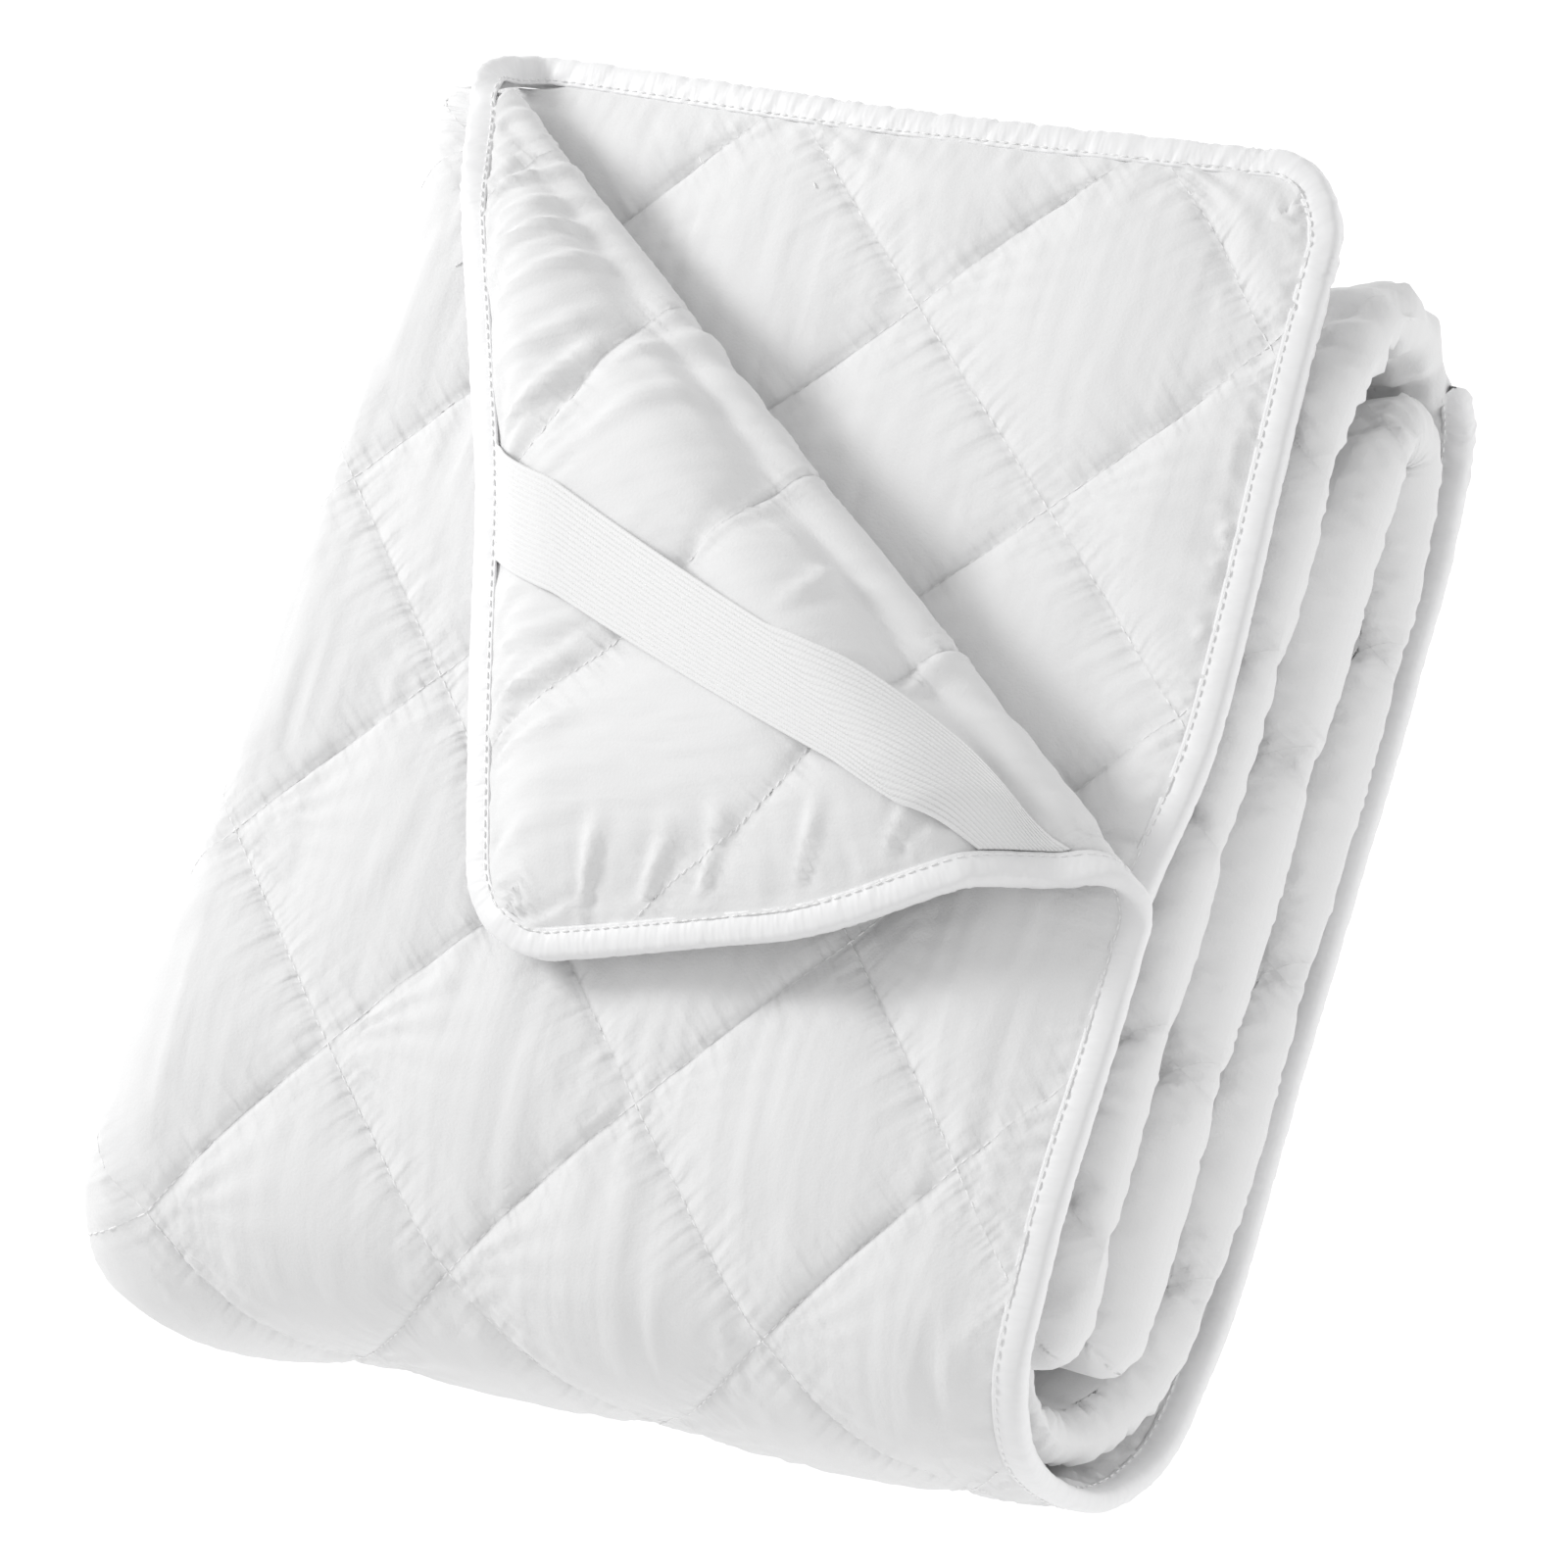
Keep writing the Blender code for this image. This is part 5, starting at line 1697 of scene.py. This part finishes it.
    def binding(self, material: bpy.types.Material) -> bpy.types.Object:
        """The row of stitches along both sides of the binding.

        Args:
            material: Their finish.

        Returns:
            The piece.
        """
        tape = self.tape
        points, outward, face, distance = tape.frame_of_edge()
        spots = np.arange(self.tape_pitch, distance[-1] - self.tape_pitch, self.tape_pitch)
        starts, ends, ups = [], [], []
        height = tape.thickness / 2.0 - tape.groove + self.proud
        for sign in (1.0, -1.0):
            rows = points + outward * tape.stitch_row + face * (sign * height)
            for low, target in ((-0.5, starts), (0.5, ends)):
                at = spots + low * self.tape_length
                target.append(np.stack([np.interp(at, distance, rows[:, axis]) for axis in range(3)], axis=-1))
            ups.append(sign * np.stack([np.interp(spots, distance, face[:, axis]) for axis in range(3)], axis=-1))
        return self.threads("binding_stitches", np.concatenate(starts), np.concatenate(ends),
                            np.concatenate(ups), material)


# --- Finishes ------------------------------------------------------------------------------------
class Nodes:
    """Short way to wire a material's nodes."""

    def __init__(self, name: str) -> None:
        """Start a material with its shader.

        Args:
            name: Name of the material.
        """
        self.material = bpy.data.materials.new(name)
        self.material.use_nodes = True
        self.tree = self.material.node_tree
        self.shader = self.tree.nodes["Principled BSDF"]

    def dress(self, colour: Tuple[float, float, float], roughness: float) -> None:
        """Give the shader its colour and roughness."""
        self.shader.inputs["Base Color"].default_value = (*colour, 1.0)
        self.shader.inputs["Roughness"].default_value = roughness

    def on_cloth(self, name: str) -> Tuple[bpy.types.NodeSocket, bpy.types.NodeSocket]:
        """Read the two coordinates of the piece's own UV map.

        Args:
            name: Name of the map.

        Returns:
            Its coordinates across and along.
        """
        flat = self.add("ShaderNodeUVMap", uv_map=name)
        split = self.add("ShaderNodeSeparateXYZ")
        self.join(flat.outputs[0], split.inputs[0])
        return split.outputs[0], split.outputs[1]

    def add(self, kind: str, **settings: object) -> bpy.types.Node:
        """Add a node with its settings.

        Args:
            kind: The node's type.
            settings: Its properties.

        Returns:
            The new node.
        """
        node = self.tree.nodes.new(kind)
        for key, value in settings.items():
            setattr(node, key, value)
        return node

    def join(self, source: bpy.types.NodeSocket, target: bpy.types.NodeSocket) -> None:
        """Wire two sockets."""
        self.tree.links.new(source, target)

    def filled(self, node: bpy.types.Node, values: Tuple[object, ...]) -> bpy.types.NodeSocket:
        """Give a node its inputs, in order.

        Args:
            node: The node.
            values: Its inputs, as numbers or sockets.

        Returns:
            Its first output.
        """
        for number, value in enumerate(values):
            if isinstance(value, (int, float)):
                node.inputs[number].default_value = value
            else:
                self.join(value, node.inputs[number])
        return node.outputs[0]

    def math(self, operation: str, *values: object) -> bpy.types.NodeSocket:
        """Add a sum of numbers or sockets.

        Args:
            operation: The Math node's operation.
            values: Its inputs, as numbers or sockets.

        Returns:
            Its result.
        """
        return self.filled(self.add("ShaderNodeMath", operation=operation), values)

    def noise(self, vector: bpy.types.NodeSocket, scale: float, detail: float = 2.0) -> bpy.types.NodeSocket:
        """Add a noise pattern on a vector.

        Args:
            vector: Where the pattern is read.
            scale: Its cells to a unit.
            detail: How much finer detail it has.

        Returns:
            Its value.
        """
        node = self.add("ShaderNodeTexNoise")
        node.inputs["Scale"].default_value = scale
        node.inputs["Detail"].default_value = detail
        self.join(vector, node.inputs["Vector"])
        return node.outputs["Fac"]

    def vector(self, *values: object) -> bpy.types.NodeSocket:
        """Put three numbers or sockets together.

        Args:
            values: The three values, as numbers or sockets.

        Returns:
            The vector.
        """
        return self.filled(self.add("ShaderNodeCombineXYZ"), values)

    def bump(self, height: bpy.types.NodeSocket, distance: float,
             normal: Optional[bpy.types.NodeSocket] = None) -> bpy.types.NodeSocket:
        """Add a bump of a height in metres at full strength.

        Args:
            height: The pattern.
            distance: Its height in metres.
            normal: A bump that it is added to.

        Returns:
            The bumped normal.
        """
        node = self.add("ShaderNodeBump")
        node.inputs["Strength"].default_value = 1.0
        node.inputs["Distance"].default_value = distance
        self.join(height, node.inputs["Height"])
        if normal is not None:
            self.join(normal, node.inputs["Normal"])
        return node.outputs["Normal"]


@dataclass(frozen=True)
class CottonFinish:
    """White cotton, gathered along its seams."""

    colour: Tuple[float, float, float] = (0.84, 0.84, 0.842)
    roughness: float = 0.88
    sheen: float = 0.20
    half_width: float = 0.0695
    half_length: float = 0.0758
    pucker_pitch: float = 0.0058
    pucker_reach: float = 0.010
    pucker_height: float = 0.0030
    crease_height: float = 0.0007
    streaks: Tuple[float, float] = (9.0, 1.9)
    lane_shift: float = 7.31
    across_scale: float = 22.0
    weave_scale: float = 900.0
    weave_height: float = 0.00016

    def make(self) -> bpy.types.Material:
        """Build the node material.

        Returns:
            The material.
        """
        nodes = Nodes("quilted_cotton")
        shader = nodes.shader
        nodes.dress(self.colour, self.roughness)
        shader.inputs["Sheen Weight"].default_value = self.sheen
        i, j = nodes.on_cloth("quilting")
        a, b = nodes.math("ADD", i, j), nodes.math("SUBTRACT", i, j)
        across = 1.0 / math.hypot(1.0 / self.half_width, 1.0 / self.half_length)
        total = None
        crossed = nodes.add("ShaderNodeAttribute", attribute_name="crossed").outputs["Fac"]
        for number, along in ((a, b), (b, a)):
            off = nodes.math("PINGPONG", number, 1.0)
            distance = nodes.math("MULTIPLY", off, across)
            fade = nodes.math("EXPONENT", nodes.math("MULTIPLY", distance, -1.0 / self.pucker_reach))
            lane = nodes.math("MULTIPLY", nodes.math("FLOOR", number), self.lane_shift)
            spot = nodes.vector(nodes.math("MULTIPLY", along, across / self.pucker_pitch),
                                nodes.math("MULTIPLY", distance, self.across_scale), lane)
            folds = nodes.math("MULTIPLY", nodes.noise(spot, 1.0, 1.0), fade)
            if number is b:
                folds = nodes.math("MULTIPLY", folds, crossed)
            total = folds if total is None else nodes.math("ADD", total, folds)
        streak = nodes.vector(nodes.math("MULTIPLY", i, self.streaks[0]),
                              nodes.math("MULTIPLY", j, self.streaks[1]), 0.0)
        streaked = nodes.bump(nodes.noise(streak, 1.0, 1.0), self.crease_height)
        puckered = nodes.bump(total, self.pucker_height, streaked)
        coordinates = nodes.add("ShaderNodeTexCoord").outputs["Object"]
        weave = nodes.noise(coordinates, self.weave_scale, 2.0)
        woven = nodes.bump(weave, self.weave_height, puckered)
        nodes.join(woven, shader.inputs["Normal"])
        return nodes.material


@dataclass(frozen=True)
class TapeFinish:
    """Smooth binding tape, with a slight shine."""

    colour: Tuple[float, float, float] = (0.90, 0.90, 0.905)
    roughness: float = 0.48
    ripple_pitch: float = 0.0034
    ripple_height: float = 0.0005
    ripples_around: float = 90.0
    sheen: float = 0.15

    def make(self) -> bpy.types.Material:
        """Build the node material.

        Returns:
            The material.
        """
        nodes = Nodes("binding_tape")
        shader = nodes.shader
        nodes.dress(self.colour, self.roughness)
        shader.inputs["Sheen Weight"].default_value = self.sheen
        along, around = nodes.on_cloth("flat_cloth")
        spot = nodes.vector(nodes.math("MULTIPLY", along, 1.0 / self.ripple_pitch),
                            nodes.math("MULTIPLY", around, self.ripples_around), 0.0)
        rippled = nodes.bump(nodes.noise(spot, 1.0, 1.0), self.ripple_height)
        nodes.join(rippled, shader.inputs["Normal"])
        return nodes.material


@dataclass(frozen=True)
class ElasticFinish:
    """Knitted elastic: ribs crossed by fine knit rows."""

    colour: Tuple[float, float, float] = (0.90, 0.90, 0.90)
    roughness: float = 0.85
    knit_pitch: float = 0.0016
    knit_height: float = 0.00003

    def make(self) -> bpy.types.Material:
        """Build the node material.

        Returns:
            The material.
        """
        nodes = Nodes("ribbed_elastic")
        shader = nodes.shader
        nodes.dress(self.colour, self.roughness)
        _, along = nodes.on_cloth("flat_cloth")
        rows = nodes.math("SINE", nodes.math("MULTIPLY", along, 2.0 * math.pi / self.knit_pitch))
        knit = nodes.bump(rows, self.knit_height)
        nodes.join(knit, shader.inputs["Normal"])
        return nodes.material


@dataclass(frozen=True)
class ThreadFinish:
    """White sewing thread."""

    name: str
    colour: Tuple[float, float, float] = (0.94, 0.94, 0.94)
    roughness: float = 0.5
    fuzz_scale: float = 2500.0
    fuzz_height: float = 0.00008

    def make(self) -> bpy.types.Material:
        """Build the node material.

        Returns:
            The material.
        """
        nodes = Nodes(self.name)
        nodes.dress(self.colour, self.roughness)
        coordinates = nodes.add("ShaderNodeTexCoord").outputs["Object"]
        fuzz = nodes.bump(nodes.noise(coordinates, self.fuzz_scale), self.fuzz_height)
        nodes.join(fuzz, nodes.shader.inputs["Normal"])
        return nodes.material


# --- Studio --------------------------------------------------------------------------------------
@dataclass
class Studio:
    """Pale floor, soft light and the camera."""

    camera_place: Tuple[float, float, float] = (1.2892, -0.4259, 2.3744)
    camera_right: Tuple[float, float, float] = (0.866, 0.294, -0.404)
    camera_forward: Tuple[float, float, float] = (-0.478, 0.250, -0.842)
    lens: float = 157.5
    sensor: float = 36.0
    far: float = 50.0
    floor_size: float = 12.0
    floor_shade: float = 0.30
    floor_roughness: float = 0.9
    floor_glow: float = 0.84
    sky: float = 0.64
    lights: Tuple[Tuple[str, Tuple[float, float, float], float, float], ...] = (
        ("key_light", (-1.90, 0.45, 1.60), 0.7, 32.0),
        ("side_light", (2.0, -1.2, 1.3), 1.2, 4.0),
    )

    def add_camera(self, offset: Array) -> None:
        """Add the camera and make it the scene's.

        Args:
            offset: Where the design's origin lies in the frame.
        """
        data = bpy.data.cameras.new("camera")
        data.sensor_width = self.sensor
        data.lens = self.lens
        data.clip_end = self.far
        camera = bpy.data.objects.new("camera", data)
        bpy.context.scene.collection.objects.link(camera)
        back = -Vector(self.camera_forward).normalized()
        up = back.cross(Vector(self.camera_right)).normalized()
        right = up.cross(back)
        matrix = Matrix((right, up, back)).transposed().to_4x4()
        matrix.translation = Vector(self.camera_place) - Vector(offset)
        camera.matrix_world = matrix
        bpy.context.scene.camera = camera

    def add_floor(self) -> None:
        """Add the floor."""
        deselect()
        bpy.ops.mesh.primitive_plane_add(size=self.floor_size, location=(0.0, 0.0, 0.0))
        floor = bpy.context.object
        floor.name = "floor"
        material = bpy.data.materials.new("floor")
        material.use_nodes = True
        shader = material.node_tree.nodes["Principled BSDF"]
        shader.inputs["Base Color"].default_value = (*[self.floor_shade] * 3, 1.0)
        shader.inputs["Roughness"].default_value = self.floor_roughness
        shader.inputs["Emission Color"].default_value = (1.0, 1.0, 1.0, 1.0)
        shader.inputs["Emission Strength"].default_value = self.floor_glow
        floor.data.materials.append(material)

    def add_light(self, name: str, place: Tuple[float, float, float], size: float, power: float) -> None:
        """Add a square soft light that faces the bundle.

        Args:
            name: Its name.
            place: Where it stands.
            size: Its side.
            power: Its power in watts.
        """
        data = bpy.data.lights.new(name, "AREA")
        data.size = size
        data.energy = power
        light = bpy.data.objects.new(name, data)
        bpy.context.scene.collection.objects.link(light)
        light.location = place
        light.rotation_euler = (-Vector(place)).to_track_quat("-Z", "Y").to_euler()

    def add_world(self, strength: float) -> None:
        """Add an even pale sky.

        Args:
            strength: How bright it is.
        """
        world = bpy.data.worlds.new("studio")
        world.use_nodes = True
        background = world.node_tree.nodes["Background"]
        background.inputs["Color"].default_value = (1.0, 1.0, 1.0, 1.0)
        background.inputs["Strength"].default_value = strength
        bpy.context.scene.world = world

    def build(self, offset: Array) -> None:
        """Add all of it.

        Args:
            offset: Where the design's origin lies in the frame.
        """
        self.add_camera(offset)
        self.add_floor()
        for light in self.lights:
            self.add_light(*light)
        self.add_world(self.sky)
        bpy.context.scene.view_settings.view_transform = "Standard"


def bundle_offset(strip: FoldedStrip) -> Array:
    """Where the design's origin lies in the frame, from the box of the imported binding.

    Args:
        strip: The doubled strip.

    Returns:
        The offset, with no height.
    """
    tape = EdgeBinding(BoundEdge(strip, ease_rounds=0), np.zeros(3))
    points, outward, face, _ = tape.frame_of_edge()
    middle = points + outward * (tape.plain_gap + tape.width / 2.0)
    reach = np.concatenate([middle + outward * (sign * tape.width / 2.0) for sign in (1.0, -1.0)]
                           + [middle + face * (sign * tape.thickness / 2.0) for sign in (1.0, -1.0)])
    low, high = (np.array(corner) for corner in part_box("edge_binding"))
    offset = (reach.min(axis=0) + reach.max(axis=0)) / 2.0 - (low + high) / 2.0
    offset[2] = 0.0
    return offset


def main() -> None:
    """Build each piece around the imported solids."""
    logging.basicConfig(level=logging.INFO, format="%(name)s: %(message)s")
    strip = FoldedStrip()
    edge = BoundEdge(strip)
    offset = bundle_offset(strip)
    LOG.info("offset %s", offset)
    elastic = CornerElastic(strip, offset)
    pad = QuiltedPad(strip, offset, elastic)
    binding = EdgeBinding(edge, offset)
    stitching = Stitching(pad, binding)
    pieces = (
        (pad.build(CottonFinish().make()), "quilted_pad", "quilted_cotton"),
        (binding.build(TapeFinish().make()), "edge_binding", "binding_tape"),
        (elastic.build(ElasticFinish().make()), "corner_elastic", "ribbed_elastic"),
        (stitching.quilting(ThreadFinish("quilting_thread").make()), None, "quilted_cotton"),
        (stitching.binding(ThreadFinish("binding_thread").make()), None, "binding_tape"),
    )
    for piece, node, slot in pieces:
        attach(piece, "root")
        if node:
            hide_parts(node)
        LOG.info("%s: %d triangles", piece.name, sum(len(face.vertices) - 2 for face in piece.data.polygons))
    [piece for piece, _, _ in pieces[1:]]
    Studio().build(offset)


if __name__ == "__main__":
    main()
